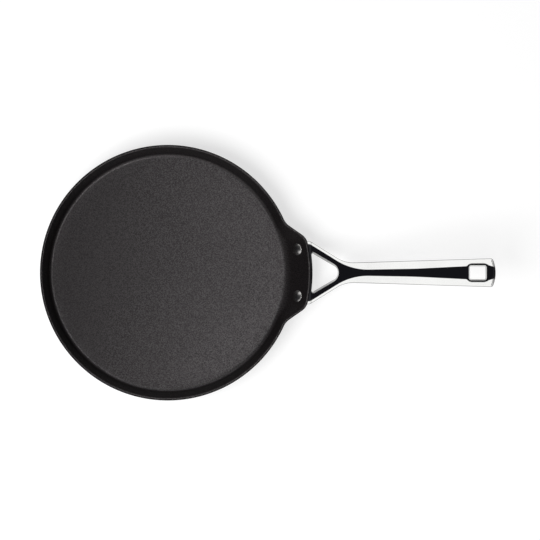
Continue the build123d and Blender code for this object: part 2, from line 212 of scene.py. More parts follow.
class StageSettings(bpy.types.PropertyGroup):
    """Floor, light and camera"""

    floor: colour("Floor", (0.42, 0.42, 0.42), "Pale floor")
    floor_glow: share("Floor Glow", 0.645, "Even brightness that the camera sees on the floor")
    floor_shine: share("Floor Shine", 0.30, "Even brightness that reflections see on the floor")
    sky: share("Sky", 1.15, "Brightness of the soft light from both sides", 4.0)
    slot: colour("Slot", (0.0085, 0.0085, 0.0108), "Dark slot overhead, along the handle")
    panel: colour("Panel", (0.026, 0.026, 0.030), "Dim panel in the slot, straight above")
    key_power: power("Key Power", 32.0, "Power of the key lamp")
    side_power: power("Side Power", 2.2, "Power of the lamps that show in the dish")
    focal_length: number("Focal Length", 400.0, "Focal length of the lens", min=10.0, unit="CAMERA")
    view_width: length("View Width", 0.5913, "Width that the camera sees at the rim's height")
    view_x: length("View Centre X", 0.1120, "Place along the handle under the camera")
    view_y: length("View Centre Y", 0.00296, "Place across the handle under the camera")


SETTINGS = {
    "pan_dish": DishSettings,
    "pan_plate": PlateSettings,
    "pan_rivet": RivetSettings,
    "pan_handle": HandleSettings,
    "pan_stage": StageSettings,
}


# Outlines


def mix(start, end, amount):
    return start + (end - start) * amount


def evenly(start, end, steps):
    """Evenly spaced numbers from start to end, with both."""
    return [start + (end - start) * step / steps for step in range(steps + 1)]


def polar(turn):
    return Vector((math.cos(turn), math.sin(turn)))


def arc_line(x, y, radius, first, last, steps):
    """Places along an arc round (x, y), with both ends."""
    turns = evenly(first, last, steps)
    return [(x + radius * math.cos(turn), y + radius * math.sin(turn)) for turn in turns]


def arc_edge(centre, radius, first, last, steps, skipped=1):
    """Points along an arc, each with its normal, which faces the centre."""
    outs = [polar(turn) for turn in evenly(first, last, steps)[skipped:]]
    return [(centre + out * radius, -out) for out in outs]


def crossing(x, y, radius, azimuth, side):
    """Distance along an azimuth to a circle at (x, y), to its far side (1) or near side (-1)."""
    along = x * math.cos(azimuth) + y * math.sin(azimuth)
    across = x * math.sin(azimuth) - y * math.cos(azimuth)
    return along + side * math.sqrt(radius**2 - across**2)


def softened(before, corner, after, reach, steps, reach_after=None):
    """Points that round a corner, from reach before it to reach after it."""
    start = corner + (before - corner).normalized() * reach
    end = corner + (after - corner).normalized() * (reach if reach_after is None else reach_after)
    return [start * (1 - t) ** 2 + corner * 2 * t * (1 - t) + end * t**2 for t in evenly(0.0, 1.0, steps)]


def bent_line(x, corners, radii):
    """Height at x of a line through corners, each inner corner rounded by its radius."""
    for (x0, y0), (x1, y1), (x2, y2), radius in zip(corners, corners[1:], corners[2:], radii):
        before = math.atan2(y1 - y0, x1 - x0)
        after = math.atan2(y2 - y1, x2 - x1)
        turn = after - before
        reach = radius * math.tan(abs(turn) / 2)
        start = x1 - reach * math.cos(before)
        if start <= x <= x1 + reach * math.cos(after):
            side = math.copysign(1, turn)
            centre_x = start - side * radius * math.sin(before)
            centre_y = y1 - reach * math.sin(before) + side * radius * math.cos(before)
            return centre_y - side * math.sqrt(radius**2 - (x - centre_x) ** 2)
    for (x0, y0), (x1, y1) in zip(corners, corners[1:]):
        if x <= x1 or (x1, y1) == corners[-1]:
            return y0 + (y1 - y0) * (x - x0) / (x1 - x0)


class DishShape:
    """Outline and wall of the dish all round."""

    floor_steps = 12
    floor_bend_steps = 10
    wall_steps = 10
    inner_rim_steps = 8
    outer_rim_steps = 12
    base_bend_steps = 12
    base_flat_steps = 4
    recess_steps = 6
    settling_rounds = 6

    def __init__(self, sizes):
        self.sizes = sizes
        self.foot_radius = sizes.rim_radius - sizes.wall_run
        self.rim_round = min(sizes.rim_round, ROUNDED_SHARE * sizes.wall_thickness)
        self.rim_centre = sizes.height - self.rim_round
        self.lip_radius = sizes.rim_radius + sizes.lip_reach
        self.lay_out_lip()
        self.base_flat = self.foot_radius - sizes.base_edge_run
        plain = self.wall_radius(math.pi, sizes.floor_thickness, -sizes.wall_thickness)
        self.floor_flat = plain - sizes.floor_edge_run

    def lay_out_lip(self):
        """Bends between the rim, the flanks and the front, and the azimuths where they end."""
        sizes = self.sizes
        sine, cosine = math.sin(sizes.lip_flank_angle), math.cos(sizes.lip_flank_angle)
        shoulder, neck = sizes.lip_shoulder_radius, sizes.lip_neck_radius
        corner_y = sizes.lip_width / 2
        corner_x = math.sqrt(self.lip_radius**2 - corner_y**2)
        self.flank_distance = corner_x * sine + corner_y * cosine
        centres = []
        for distance, radius in (
            (self.flank_distance - shoulder, self.lip_radius - shoulder),
            (self.flank_distance + neck, sizes.rim_radius + neck),
        ):
            along = math.sqrt(radius**2 - distance**2)
            centres.append((distance * sine + along * cosine, distance * cosine - along * sine))
        self.shoulder, self.neck = (sx, sy), (nx, ny) = centres
        self.turns = (
            math.atan2(sy, sx),
            math.atan2(sy + shoulder * cosine, sx + shoulder * sine),
            math.atan2(ny - neck * cosine, nx - neck * sine),
            math.atan2(ny, nx),
        )

    def outline(self, azimuth):
        """Radius of the rim's outermost edge."""
        turn = abs(azimuth)
        front_end, shoulder_end, flank_end, neck_end = self.turns
        if turn <= front_end:
            return self.lip_radius
        if turn <= shoulder_end:
            return crossing(*self.shoulder, self.sizes.lip_shoulder_radius, turn, 1)
        if turn <= flank_end:
            return self.flank_distance / math.sin(self.sizes.lip_flank_angle + turn)
        if turn < neck_end:
            return crossing(*self.neck, self.sizes.lip_neck_radius, turn, -1)
        return self.sizes.rim_radius

    def slope(self, azimuth):
        """Angle between the wall and the floor."""
        run = self.outline(azimuth) - self.rim_round - self.foot_radius
        reach = math.hypot(run, self.rim_centre)
        return math.atan2(self.rim_centre, run) - math.asin(self.rim_round / reach)

    def wall_radius(self, azimuth, height, offset=0.0):
        """Radius of the straight outer wall, moved outward by an offset across the wall."""
        lean = self.slope(azimuth)
        return self.foot_radius + height / math.tan(lean) + offset / math.sin(lean)

    def wall_x(self, y, height, offset):
        """Place along X of the outer wall, moved outward, at a distance from the handle's axis."""
        x = self.lip_radius
        for _ in range(self.settling_rounds):
            radius = self.wall_radius(math.atan2(y, x), height, offset)
            x = math.sqrt(radius**2 - y**2)
        return x

    def wall_line(self, azimuth, start, end, offset=0.0):
        """Radius and height along the straight wall, without both ends."""
        heights = evenly(start, end, self.wall_steps)[1:-1]
        return [(self.wall_radius(azimuth, height, offset), height) for height in heights]

    def inner_section(self, azimuth):
        """Radius and height from the middle of the floor to the top of the rim."""
        lean, quarter = self.slope(azimuth), math.pi / 2
        floor, wall = self.sizes.floor_thickness, self.sizes.wall_thickness
        bend = (self.wall_radius(azimuth, floor, -wall) - self.floor_flat) / math.tan(lean / 2)
        line = [(radius, floor) for radius in evenly(0.0, self.floor_flat, self.floor_steps)[:-1]]
        turn = (-quarter, lean - quarter)
        line += arc_line(self.floor_flat, floor + bend, bend, *turn, self.floor_bend_steps)
        wall_end = self.rim_centre + self.rim_round * math.cos(lean)
        line += self.wall_line(azimuth, line[-1][1], wall_end, -wall)
        centre = self.wall_radius(azimuth, self.rim_centre, -wall) + self.rim_round / math.sin(lean)
        rim = (centre, self.rim_centre, self.rim_round)
        return line + arc_line(*rim, quarter + lean, quarter, self.inner_rim_steps)

    def outer_section(self, azimuth):
        """Radius and height from the top of the rim to the edge of the flat base."""
        lean, quarter = self.slope(azimuth), math.pi / 2
        rim = (self.outline(azimuth) - self.rim_round, self.rim_centre, self.rim_round)
        bend = (self.foot_radius - self.base_flat) / math.tan(lean / 2)
        line = arc_line(*rim, quarter, lean - quarter, self.outer_rim_steps)
        line += self.wall_line(azimuth, line[-1][1], bend * (1 - math.cos(lean)))
        turn = (lean - quarter, -quarter)
        return line + arc_line(self.base_flat, bend, bend, *turn, self.base_bend_steps)

    def base_section(self, plate):
        """Radius and height from the edge of the base to the middle of the plate's recess."""
        recess, depth = plate.radius + plate.seam, plate.thickness
        line = [(r, 0.0) for r in evenly(self.base_flat, recess + plate.seam, self.base_flat_steps)]
        line.append((recess, plate.seam))
        return line + [(r, depth) for r in evenly(recess, 0.0, self.recess_steps)]


class HandleShape:
    """Course, widths and openings of the handle."""

    # How steeply the border round the hanging hole counts as narrower past its ends
    collar_fall = 3.0

    def __init__(self, dish, sizes):
        self.dish = dish
        self.sizes = sizes
        self.reach = dish.lip_radius + sizes.length
        self.far = self.reach + sizes.thickness
        seat = sizes.seat_gap + sizes.seat_thickness
        self.fork_start = dish.wall_radius(0.0, sizes.root_height, seat) + sizes.root_overhang
        self.start = dish.wall_radius(0.0, sizes.seat_bottom, -dish.sizes.wall_thickness)
        self.neck = dish.lip_radius + sizes.neck_offset
        self.root = self.neck - (sizes.root_width - sizes.neck_width) / 2 / math.tan(sizes.side_angle)
        self.root_land = sizes.root_width / 2 - sizes.fork_flank_width
        self.hole_x = self.reach - sizes.hole_end_distance - sizes.hole_length / 2

    def top(self, x):
        """Height of the land."""
        s = self.sizes
        rise, fall = math.tan(s.rise_angle), math.tan(s.end_angle)
        gap = s.end_height - s.root_height - fall * (self.reach - self.fork_start)
        bend = self.fork_start + gap / (rise - fall)
        corners = (
            (self.start, s.root_height),
            (self.fork_start, s.root_height),
            (bend, s.root_height + rise * (bend - self.fork_start)),
            (self.far, s.end_height + fall * (self.far - self.reach)),
        )
        return bent_line(x, corners, (s.root_radius, s.bend_radius))

    def bottom(self, x):
        """Height of the underside."""
        s = self.sizes
        return max(self.top(x) - s.thickness, s.root_height - s.root_thickness)

    def half_width(self, x):
        s = self.sizes
        growth = (s.grip_width - s.neck_width) / 2 / (self.reach - self.neck)
        corners = (
            (self.start, s.root_width / 2),
            (self.root, s.root_width / 2),
            (self.neck, s.neck_width / 2),
            (self.far, s.neck_width / 2 + growth * (self.far - self.neck)),
        )
        return bent_line(x, corners, (s.fork_corner_radius, s.neck_radius))

    def land(self, x):
        """Half of the land's width, without the border round the hanging hole."""
        s, lip = self.sizes, self.dish.lip_radius
        corners = (
            (self.start, self.root_land),
            (self.root, self.root_land),
            (lip + s.land_neck_offset, s.land_neck_width / 2),
            (lip + s.land_waist_offset, s.land_waist_width / 2),
            (self.reach - s.land_tip_length, s.land_grip_width / 2),
            (self.reach, s.land_tip_width / 2),
        )
        radii = (s.fork_corner_radius, s.land_neck_radius, s.land_waist_radius, s.land_grip_radius)
        return min(bent_line(x, corners, radii), self.half_width(x) - s.fork_flank_width)

    def collar(self, x):
        """Half of the width of the border round the hanging hole, far below zero away from it."""
        s = self.sizes
        corner = s.collar_corner_radius
        past = abs(x - self.hole_x) - (s.hole_length / 2 + s.collar_width - corner)
        side = s.hole_width / 2 + s.collar_width - corner
        if past <= 0:
            return side + corner
        if past < corner:
            return side + math.sqrt(corner**2 - past**2)
        return side - self.collar_fall * (past - corner)

    def land_edge(self, x):
        """Half of the width of everything at the land's height."""
        land, collar = self.land(x), self.collar(x)
        blend = self.sizes.collar_blend
        overlap = max(0.0, blend - abs(land - collar))
        return max(land, collar) + overlap**2 / (4 * blend)

    def drop(self, x, y):
        """How far the flank lies below the land at a place."""
        return max(0.0, y - self.land(x)) * math.tan(self.sizes.flank_angle)

    def opening(self, columns, corner_steps, side_steps):
        """Edge of the fork's opening: near side, flank and tip, with normals into the opening."""
        s = self.sizes
        lean, corner, tip = s.opening_side_angle, s.opening_corner_radius, s.opening_tip_radius
        radius = self.fork_start
        tip_x = radius + s.opening_length - tip
        apex = tip_x + tip / math.sin(lean)
        turn = math.asin((apex * math.sin(lean) - corner) / (radius + corner)) - lean
        centre = polar(turn) * (radius + corner)
        first, last = math.pi + turn, math.pi / 2 - lean
        middle = (first + last) / 2
        outs = [polar(there) for there in evenly(0.0, turn, columns - corner_steps)]
        near = [(out * radius, out) for out in outs]
        near += arc_edge(centre, corner, first, middle, corner_steps)
        side = [near[-1], *arc_edge(centre, corner, middle, last, corner_steps)]
        far = arc_edge(Vector((tip_x, 0.0)), tip, 0.0, last, columns, 0)
        start, (end, normal) = side[-1][0], far[-1]
        side += [(start.lerp(end, amount), normal) for amount in evenly(0.0, 1.0, side_steps)[1:]]
        return near, side, far

    def hanging_hole(self, columns, corner_steps, side_steps):
        """Edge of the hanging hole, in the same three parts."""
        s = self.sizes
        corner, quarter = s.hole_corner_radius, math.pi / 2
        half_x, half_y = s.hole_length / 2 - corner, s.hole_width / 2 - corner
        centres = [Vector((self.hole_x + direction * half_x, half_y)) for direction in (-1, 1)]
        ends = []
        for centre, direction, first in zip(centres, (-1, 1), (math.pi, 0.0)):
            x = self.hole_x + direction * (half_x + corner)
            straight = [Vector((x, y)) for y in evenly(0.0, half_y, columns - corner_steps)]
            edge = [(point, Vector((-direction, 0.0))) for point in straight]
            ends.append(edge + arc_edge(centre, corner, first, (first + quarter) / 2, corner_steps))
        near, far = ends
        side = [near[-1], *arc_edge(centres[0], corner, 1.5 * quarter, quarter, corner_steps)]
        along = evenly(self.hole_x - half_x, self.hole_x + half_x, side_steps)[1:]
        side += [(Vector((x, half_y + corner)), -SIDEWAYS) for x in along]
        side += arc_edge(centres[1], corner, quarter, quarter / 2, corner_steps)
        return near, side, far


# Mesh helpers


def add_grid(mesh, points, material=0):
    """Faces between rows of points."""
    rows = [[mesh.verts.new(point) for point in row] for row in points]
    for row, next_row in zip(rows, rows[1:]):
        for corners in zip(row, row[1:], next_row[1:], next_row):
            before = (corners[-1], *corners[:-1])
            distinct = [b for a, b in zip(before, corners) if (b.co - a.co).length > SAME_PLACE]
            if len(distinct) >= 3:
                mesh.faces.new(distinct).material_index = material


def take_in(mesh, other):
    """Adds another mesh to a mesh and frees it."""
    data = bpy.data.meshes.new("taken_in")
    other.to_mesh(data)
    other.free()
    mesh.from_mesh(data)
    bpy.data.meshes.remove(data)


def close_up(mesh):
    """Merges a mesh along its seams, and raises an error if it isn't closed."""
    bmesh.ops.remove_doubles(mesh, verts=mesh.verts, dist=MERGE_DISTANCE)
    bmesh.ops.dissolve_degenerate(mesh, edges=mesh.edges, dist=SLIVER)
    bmesh.ops.recalc_face_normals(mesh, faces=mesh.faces)
    open_edges = [edge for edge in mesh.edges if len(edge.link_faces) != 2]
    if open_edges:
        raise RuntimeError(f"{len(open_edges)} open edges near {open_edges[0].verts[0].co}")


def placed(name, data):
    """Object in the scene that shows a mesh."""
    piece = bpy.data.objects.new(name, data)
    bpy.context.scene.collection.objects.link(piece)
    return piece


def new_piece(name, mesh, materials, smooth=True):
    """Object from a bmesh, with smooth or flat faces."""
    data = bpy.data.meshes.new(name)
    mesh.to_mesh(data)
    mesh.free()
    for material in materials:
        data.materials.append(material)
    data.polygons.foreach_set("use_smooth", [smooth] * len(data.polygons))
    return placed(name, data)


def fit(piece, node):
    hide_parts(node)
    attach(piece, "root")


# Node helpers


def set_inputs(tree, node, inputs):
    """Inputs of a node, set or linked by name or number."""
    for key, value in inputs.items():
        socket = node.inputs[key]
        if isinstance(value, bpy.types.NodeSocket):
            tree.links.new(value, socket)
        else:
            socket.default_value = value


def add_node(tree, kind, inputs=None, **settings):
    node = tree.nodes.new(kind)
    for key, value in settings.items():
        setattr(node, key, value)
    set_inputs(tree, node, inputs or {})
    return node


def result(tree, kind, inputs=None, **settings):
    """First output of a new node."""
    return add_node(tree, kind, inputs, **settings).outputs[0]


def math_node(tree, operation, *values):
    return result(tree, "ShaderNodeMath", dict(enumerate(values)), operation=operation)


def times(tree, first, *others):
    for other in others:
        first = math_node(tree, "MULTIPLY", first, other)
    return first


def plus(tree, first, second):
    return math_node(tree, "ADD", first, second)


def split(tree, place):
    """Outputs X, Y and Z of a place or direction."""
    return add_node(tree, "ShaderNodeSeparateXYZ", {"Vector": place}).outputs


def upward(tree, height):
    return result(tree, "ShaderNodeCombineXYZ", {"Z": height})


def noise(tree, place, scale, detail=2.0, roughness=0.5):
    inputs = {"Vector": place, "Scale": scale, "Detail": detail, "Roughness": roughness}
    return result(tree, "ShaderNodeTexNoise", inputs)


def spread(tree, value, low, high, to_low, to_high):
    """Value mapped from one range to another, and held at its ends."""
    inputs = {"Value": value, "From Min": low, "From Max": high, "To Min": to_low, "To Max": to_high}
    return result(tree, "ShaderNodeMapRange", inputs)


def mixed(tree, amount, first, second):
    """Colour between two, each of them a colour or a socket."""
    inputs = {0: amount}
    for index, part in ((6, first), (7, second)):
        inputs[index] = part if isinstance(part, bpy.types.NodeSocket) else (*part, 1.0)
    return add_node(tree, "ShaderNodeMix", inputs, data_type="RGBA").outputs[2]


def bumped(tree, height, strength, distance, normal=None):
    """Normal of a bump, over another normal if there is one."""
    inputs = {"Height": height, "Strength": strength, "Distance": distance}
    if normal is not None:
        inputs["Normal"] = normal
    return result(tree, "ShaderNodeBump", inputs)


def shaded(tone, amount):
    return tuple(min(1.0, part * amount) for part in tone)


def new_finish(name):
    """Material with its node tree, its surface shader and its object coordinates."""
    material = bpy.data.materials.new(name)
    material.use_nodes = True
    tree = material.node_tree
    tree.nodes.clear()
    shader = tree.nodes.new("ShaderNodeBsdfPrincipled")
    add_node(tree, "ShaderNodeOutputMaterial", {"Surface": shader.outputs[0]})
    place = tree.nodes.new("ShaderNodeTexCoord").outputs["Object"]
    return material, tree, shader, place


# Finishes


def coating_finish(dish):
    """Satin non-stick coating with fine flecks."""
    material, tree, shader, place = new_finish("non_stick_coating")
    grain = noise(tree, place, 980.0, 2.0, 0.6)
    fleck = result(tree, "ShaderNodeTexVoronoi", {"Vector": place, "Scale": 620.0})
    cloud = noise(tree, place, 14.0, 3.0, 0.55)
    flecks = spread(tree, fleck, 0.14, 0.30, 1.0, 0.0)
    flecks = math_node(tree, "MAXIMUM", flecks, spread(tree, grain, 0.50, 0.62, 0.0, 1.0))
    fine = spread(tree, grain, 0.36, 0.64, 0.47, 0.33)
    pores = bumped(tree, grain, 0.25, 0.00006)
    set_inputs(
        tree,
        shader,
        {
            "Base Color": mixed(tree, flecks, dish.coating, dish.coating_fleck),
            "Roughness": plus(tree, fine, spread(tree, cloud, 0.3, 0.7, -0.012, 0.012)),
            "Specular IOR Level": spread(tree, grain, 0.38, 0.62, 0.34, 0.80),
            "Specular Tint": (1.0, 0.945, 0.965, 1.0),
            "Normal": bumped(tree, cloud, 0.10, 0.0004, pores),
        },
    )
    return material


def outside_finish(dish):
    """Matt hard coat with a light orange peel, rubbed a little along the base, and painted shade round the
    rim that turns it to the coating's dark colour with less shine.
    """
    material, tree, shader, place = new_finish("hard_outside_coat")
    peel = noise(tree, place, 420.0, 2.0, 0.5)
    cloud = noise(tree, place, 22.0, 4.0, 0.6)
    height = split(tree, place)["Z"]
    rub = spread(tree, height, 0.0002, 0.0022, 1.0, 0.0)
    rub = times(tree, rub, spread(tree, cloud, 0.46, 0.60, 0.0, 0.6))
    # Painted shade: near the top of the rim the outside is darkened to the coating's colour and its shine
    # is lowered, to stand for a dark outline round the rim
    rim_shade_start, rim_shade_full = [dish.height - part * dish.rim_round for part in (2.4, 1.8)]
    rim_painted_shade = spread(tree, height, rim_shade_start, rim_shade_full, 0.0, 1.0)
    hard = mixed(tree, rub, dish.outside, shaded(dish.outside, 4))
    rough = spread(tree, cloud, 0.3, 0.7, 0.46, 0.54)
    set_inputs(
        tree,
        shader,
        {
            "Base Color": mixed(tree, rim_painted_shade, hard, dish.coating),
            "Specular IOR Level": spread(tree, rim_painted_shade, 0.0, 1.0, 0.40, 0.12),
            "Roughness": plus(tree, rough, times(tree, rub, -0.12)),
            "Normal": bumped(tree, peel, 0.22, 0.00012),
        },
    )
    return material


def lathe_rings(tree, radius, scale, detail):
    """Noise that changes only with the distance from the middle."""
    inputs = {"W": times(tree, radius, scale), "Scale": 1.0, "Detail": detail}
    return result(tree, "ShaderNodeTexNoise", inputs, noise_dimensions="1D")


def turned_finish(name, metal, roughness):
    """Metal with the fine rings that the lathe leaves."""
    material, tree, shader, place = new_finish(name)
    parts = split(tree, place)
    flat = result(tree, "ShaderNodeCombineXYZ", {"X": parts["X"], "Y": parts["Y"]})
    radius = add_node(tree, "ShaderNodeVectorMath", {0: flat}, operation="LENGTH").outputs["Value"]
    rings = lathe_rings(tree, radius, 5200.0, 3.0)
    broad = lathe_rings(tree, radius, 420.0, 2.0)
    smudge = noise(tree, place, 26.0, 4.0, 0.6)
    shade = plus(tree, times(tree, rings, 0.6), times(tree, broad, 0.4))
    shade = spread(tree, shade, 0.3, 0.7, 1.0, 0.0)
    rough = spread(tree, rings, 0.3, 0.7, roughness - 0.06, roughness + 0.06)
    set_inputs(
        tree,
        shader,
        {
            "Metallic": 1.0,
            "Base Color": mixed(tree, shade, metal, shaded(metal, 0.72)),
            "Roughness": plus(tree, rough, spread(tree, smudge, 0.4, 0.7, 0.0, 0.08)),
            "Normal": bumped(tree, rings, 0.35, 0.00003),
        },
    )
    return material


def polished_finish(name, metal, roughness):
    """Mirror-polished steel with hair-fine scratches along the handle and faint smudges."""
    material, tree, shader, place = new_finish(name)
    along = result(tree, "ShaderNodeMapping", {"Vector": place, "Scale": (60.0, 2600.0, 2600.0)})
    hair = noise(tree, along, 1.0, 2.0, 0.6)
    smudge = noise(tree, place, 38.0, 4.0, 0.6)
    wave = noise(tree, place, 9.0, 1.0, 0.4)
    dull = spread(tree, smudge, 0.35, 0.75, 0.0, 1.0)
    rough = spread(tree, hair, 0.35, 0.75, roughness, roughness + 0.05)
    fine = bumped(tree, hair, 0.05, 0.00001)
    set_inputs(
        tree,
        shader,
        {
            "Metallic": 1.0,
            "Base Color": mixed(tree, dull, metal, shaded(metal, 0.94)),
            "Roughness": plus(tree, rough, spread(tree, smudge, 0.45, 0.75, 0.0, 0.05)),
            "Normal": bumped(tree, wave, 0.04, 0.0006, fine),
        },
    )
    return material


# Geometry trees


def new_geometry_tree(name, inputs):
    """Geometry node group with named inputs, and its sockets."""
    tree = bpy.data.node_groups.new(name, "GeometryNodeTree")
    tree.is_modifier = True
    for label, kind in inputs.items():
        tree.interface.new_socket(name=label, in_out="INPUT", socket_type="NodeSocket" + kind)
    tree.interface.new_socket(name="Geometry", in_out="OUTPUT", socket_type="NodeSocketGeometry")
    return tree, tree.nodes.new("NodeGroupInput").outputs


def end_tree(tree, geometry, finish):
    """Last nodes of a tree, which make its instances real and give them their finish."""
    real = result(tree, "GeometryNodeRealizeInstances", {"Geometry": geometry})
    made = result(tree, "GeometryNodeSetMaterial", {"Geometry": real, "Material": finish})
    add_node(tree, "NodeGroupOutput", {"Geometry": made})
    return tree


def grown(name, tree, sizes, **values):
    """Plain mesh that a tree makes. Its inputs are named after the sizes that they take."""
    carrier = placed(name + "_carrier", bpy.data.meshes.new(name + "_carrier"))
    modifier = carrier.modifiers.new("grown", "NODES")
    modifier.node_group = tree
    for item in tree.interface.items_tree:
        if item.item_type == "SOCKET" and item.in_out == "INPUT":
            key = item.name.lower().replace(" ", "_")
            modifier[item.identifier] = values[key] if key in values else getattr(sizes, key)
    bpy.context.view_layer.update()
    graph = bpy.context.evaluated_depsgraph_get()
    data = bpy.data.meshes.new_from_object(carrier.evaluated_get(graph), depsgraph=graph)
    bpy.data.objects.remove(carrier)
    data.name = name
    return data


def joined_up(tree, *parts):
    node = tree.nodes.new("GeometryNodeJoinGeometry")
    for part in parts:
        tree.links.new(part, node.inputs[0])
    return node.outputs[0]


RING_INPUTS = {
    "Hole Radius": "Float",
    "Inner Ring Radius": "Float",
    "Ring Pitch": "Float",
    "Hole Pitch": "Float",
    "Thickness": "Float",
    "Rings": "Int",
    "Finish": "Material",
}


def on_rings(tree, sockets, instance):
    """Instances on rings, each ring with as many as keep the pitch."""
    start = add_node(tree, "GeometryNodeRepeatInput", {"Iterations": sockets["Rings"]})
    end = tree.nodes.new("GeometryNodeRepeatOutput")
    start.pair_with_output(end)
    end.repeat_items.new("FLOAT", "Radius")
    tree.links.new(sockets["Inner Ring Radius"], start.inputs["Radius"])
    radius = start.outputs["Radius"]
    around = math_node(tree, "DIVIDE", times(tree, radius, 2 * math.pi), sockets["Hole Pitch"])
    number = math_node(tree, "MAXIMUM", math_node(tree, "ROUND", around), 3.0)
    ring = result(tree, "GeometryNodeMeshCircle", {"Vertices": number, "Radius": radius})
    tree.links.new(joined_up(tree, ring, start.outputs["Geometry"]), end.inputs["Geometry"])
    tree.links.new(plus(tree, radius, sockets["Ring Pitch"]), end.inputs["Radius"])
    points = result(tree, "GeometryNodeMeshToPoints", {"Mesh": end.outputs["Geometry"]})
    return result(tree, "GeometryNodeInstanceOnPoints", {"Points": points, "Instance": instance})


def circle(tree, radius, points):
    return result(tree, "GeometryNodeCurvePrimitiveCircle", {"Resolution": points, "Radius": radius})


def plate_tree():
    """Disc with rings of holes."""
    tree, sockets = new_geometry_tree("perforated_plate", {"Radius": "Float", **RING_INPUTS})
    holes = on_rings(tree, sockets, circle(tree, sockets["Hole Radius"], HOLE_SIDES))
    holes = result(tree, "GeometryNodeRealizeInstances", {"Geometry": holes})
    outline = joined_up(tree, circle(tree, sockets["Radius"], PLATE_SIDES), holes)
    face = result(tree, "GeometryNodeFillCurve", {"Curve": outline})
    raised = result(
        tree,
        "GeometryNodeExtrudeMesh",
        {
            "Mesh": face,
            "Offset": upward(tree, 1.0),
            "Offset Scale": sockets["Thickness"],
            "Individual": False,
        },
    )
    whole = joined_up(tree, raised, result(tree, "GeometryNodeFlipFaces", {"Mesh": face}))
    whole = result(tree, "GeometryNodeMergeByDistance", {"Geometry": whole, "Distance": MERGE_DISTANCE})
    return end_tree(tree, whole, sockets["Finish"])


def peg_tree():
    """Pegs of aluminium that stand in the plate's holes."""
    tree, sockets = new_geometry_tree("plate_pegs", RING_INPUTS)
    depth = sockets["Thickness"]
    inputs = {"Vertices": HOLE_SIDES, "Radius": sockets["Hole Radius"], "Depth": depth}
    peg = result(tree, "GeometryNodeMeshCylinder", inputs, fill_type="NGON")
    lift = upward(tree, times(tree, depth, 0.5))
    inputs = {"Instances": on_rings(tree, sockets, peg), "Translation": lift}
    pegs = result(tree, "GeometryNodeTranslateInstances", inputs)
    return end_tree(tree, pegs, sockets["Finish"])


def dome(tree, radius, height, edge, start, direction):
    """Domed cap round the Z axis: its flat side at start, its dome towards direction."""
    # Points of its outline: middle of the flat side, foot of the edge, then the dome to its top
    inputs = {"Count": DOME_STEPS + 3, "Offset": (0.0, 0.0, 0.001)}
    line = result(tree, "GeometryNodeMeshLine", inputs)
    curve = result(tree, "GeometryNodeMeshToCurve", {"Mesh": line})
    index = result(tree, "GeometryNodeInputIndex")
    off_axis = math_node(tree, "GREATER_THAN", index, 0.5)
    above_edge = math_node(tree, "GREATER_THAN", index, 1.5)
    rise = math_node(tree, "SUBTRACT", height, edge)
    squares = plus(tree, times(tree, radius, radius), times(tree, rise, rise))
    ball = math_node(tree, "DIVIDE", squares, times(tree, rise, 2.0))
    lean = math_node(tree, "ARCSINE", math_node(tree, "DIVIDE", radius, ball))
    turn = times(tree, spread(tree, index, 2.0, DOME_STEPS + 2.0, 1.0, 0.0), lean)
    out_radius = times(tree, ball, math_node(tree, "SINE", turn), off_axis)
    fall = math_node(tree, "SUBTRACT", math_node(tree, "COSINE", turn), math_node(tree, "COSINE", lean))
    high = times(tree, plus(tree, edge, times(tree, ball, fall)), above_edge)
    position = upward(tree, plus(tree, start, times(tree, high, direction)))
    curve = result(tree, "GeometryNodeSetPosition", {"Geometry": curve, "Position": position})
    inputs = {"Curve": curve, "Profile Curve": circle(tree, 1.0, DOME_SIDES), "Scale": out_radius}
    return result(tree, "GeometryNodeCurveToMesh", inputs)


RIVET_INPUTS = {
    "Head Radius": "Float",
    "Head Rise": "Float",
    "Tail Radius": "Float",
    "Tail Rise": "Float",
    "Shank Radius": "Float",
    "Grip": "Float",
    "Seat Depth": "Float",
    "Edge": "Float",
    "Place": "Vector",
    "Outward": "Vector",
    "Finish": "Material",
}


def rivet_tree():
    """Rivet with a domed head, a shank and a formed tail, stood on a point of the wall."""
    tree, sockets = new_geometry_tree("rivet", RIVET_INPUTS)
    start, grip, edge = sockets["Seat Depth"], sockets["Grip"], sockets["Edge"]
    head = dome(tree, sockets["Head Radius"], sockets["Head Rise"], edge, start, -1.0)
    tail = dome(tree, sockets["Tail Radius"], sockets["Tail Rise"], edge, plus(tree, start, grip), 1.0)
    inputs = {"Vertices": SHANK_SIDES, "Radius": sockets["Shank Radius"], "Depth": grip}
    shank = result(tree, "GeometryNodeMeshCylinder", inputs)
    lift = upward(tree, plus(tree, start, times(tree, grip, 0.5)))
    shank = result(tree, "GeometryNodeTransform", {"Geometry": shank, "Translation": lift})
    rivet = joined_up(tree, head, tail, shank)
    point = result(tree, "GeometryNodePoints", {"Count": 1, "Position": sockets["Place"]})
    turn = result(tree, "FunctionNodeAlignRotationToVector", {"Vector": sockets["Outward"]}, axis="Z")
    inputs = {"Points": point, "Instance": rivet, "Rotation": turn}
    stood = result(tree, "GeometryNodeInstanceOnPoints", inputs)
    stood = result(tree, "GeometryNodeRealizeInstances", {"Geometry": stood})
    inputs = {"Geometry": stood, "Distance": FINE_MERGE_DISTANCE}
    stood = result(tree, "GeometryNodeMergeByDistance", inputs)
    stood = result(tree, "GeometryNodeSetShadeSmooth", {"Geometry": stood})
    return end_tree(tree, stood, sockets["Finish"])


# Operators


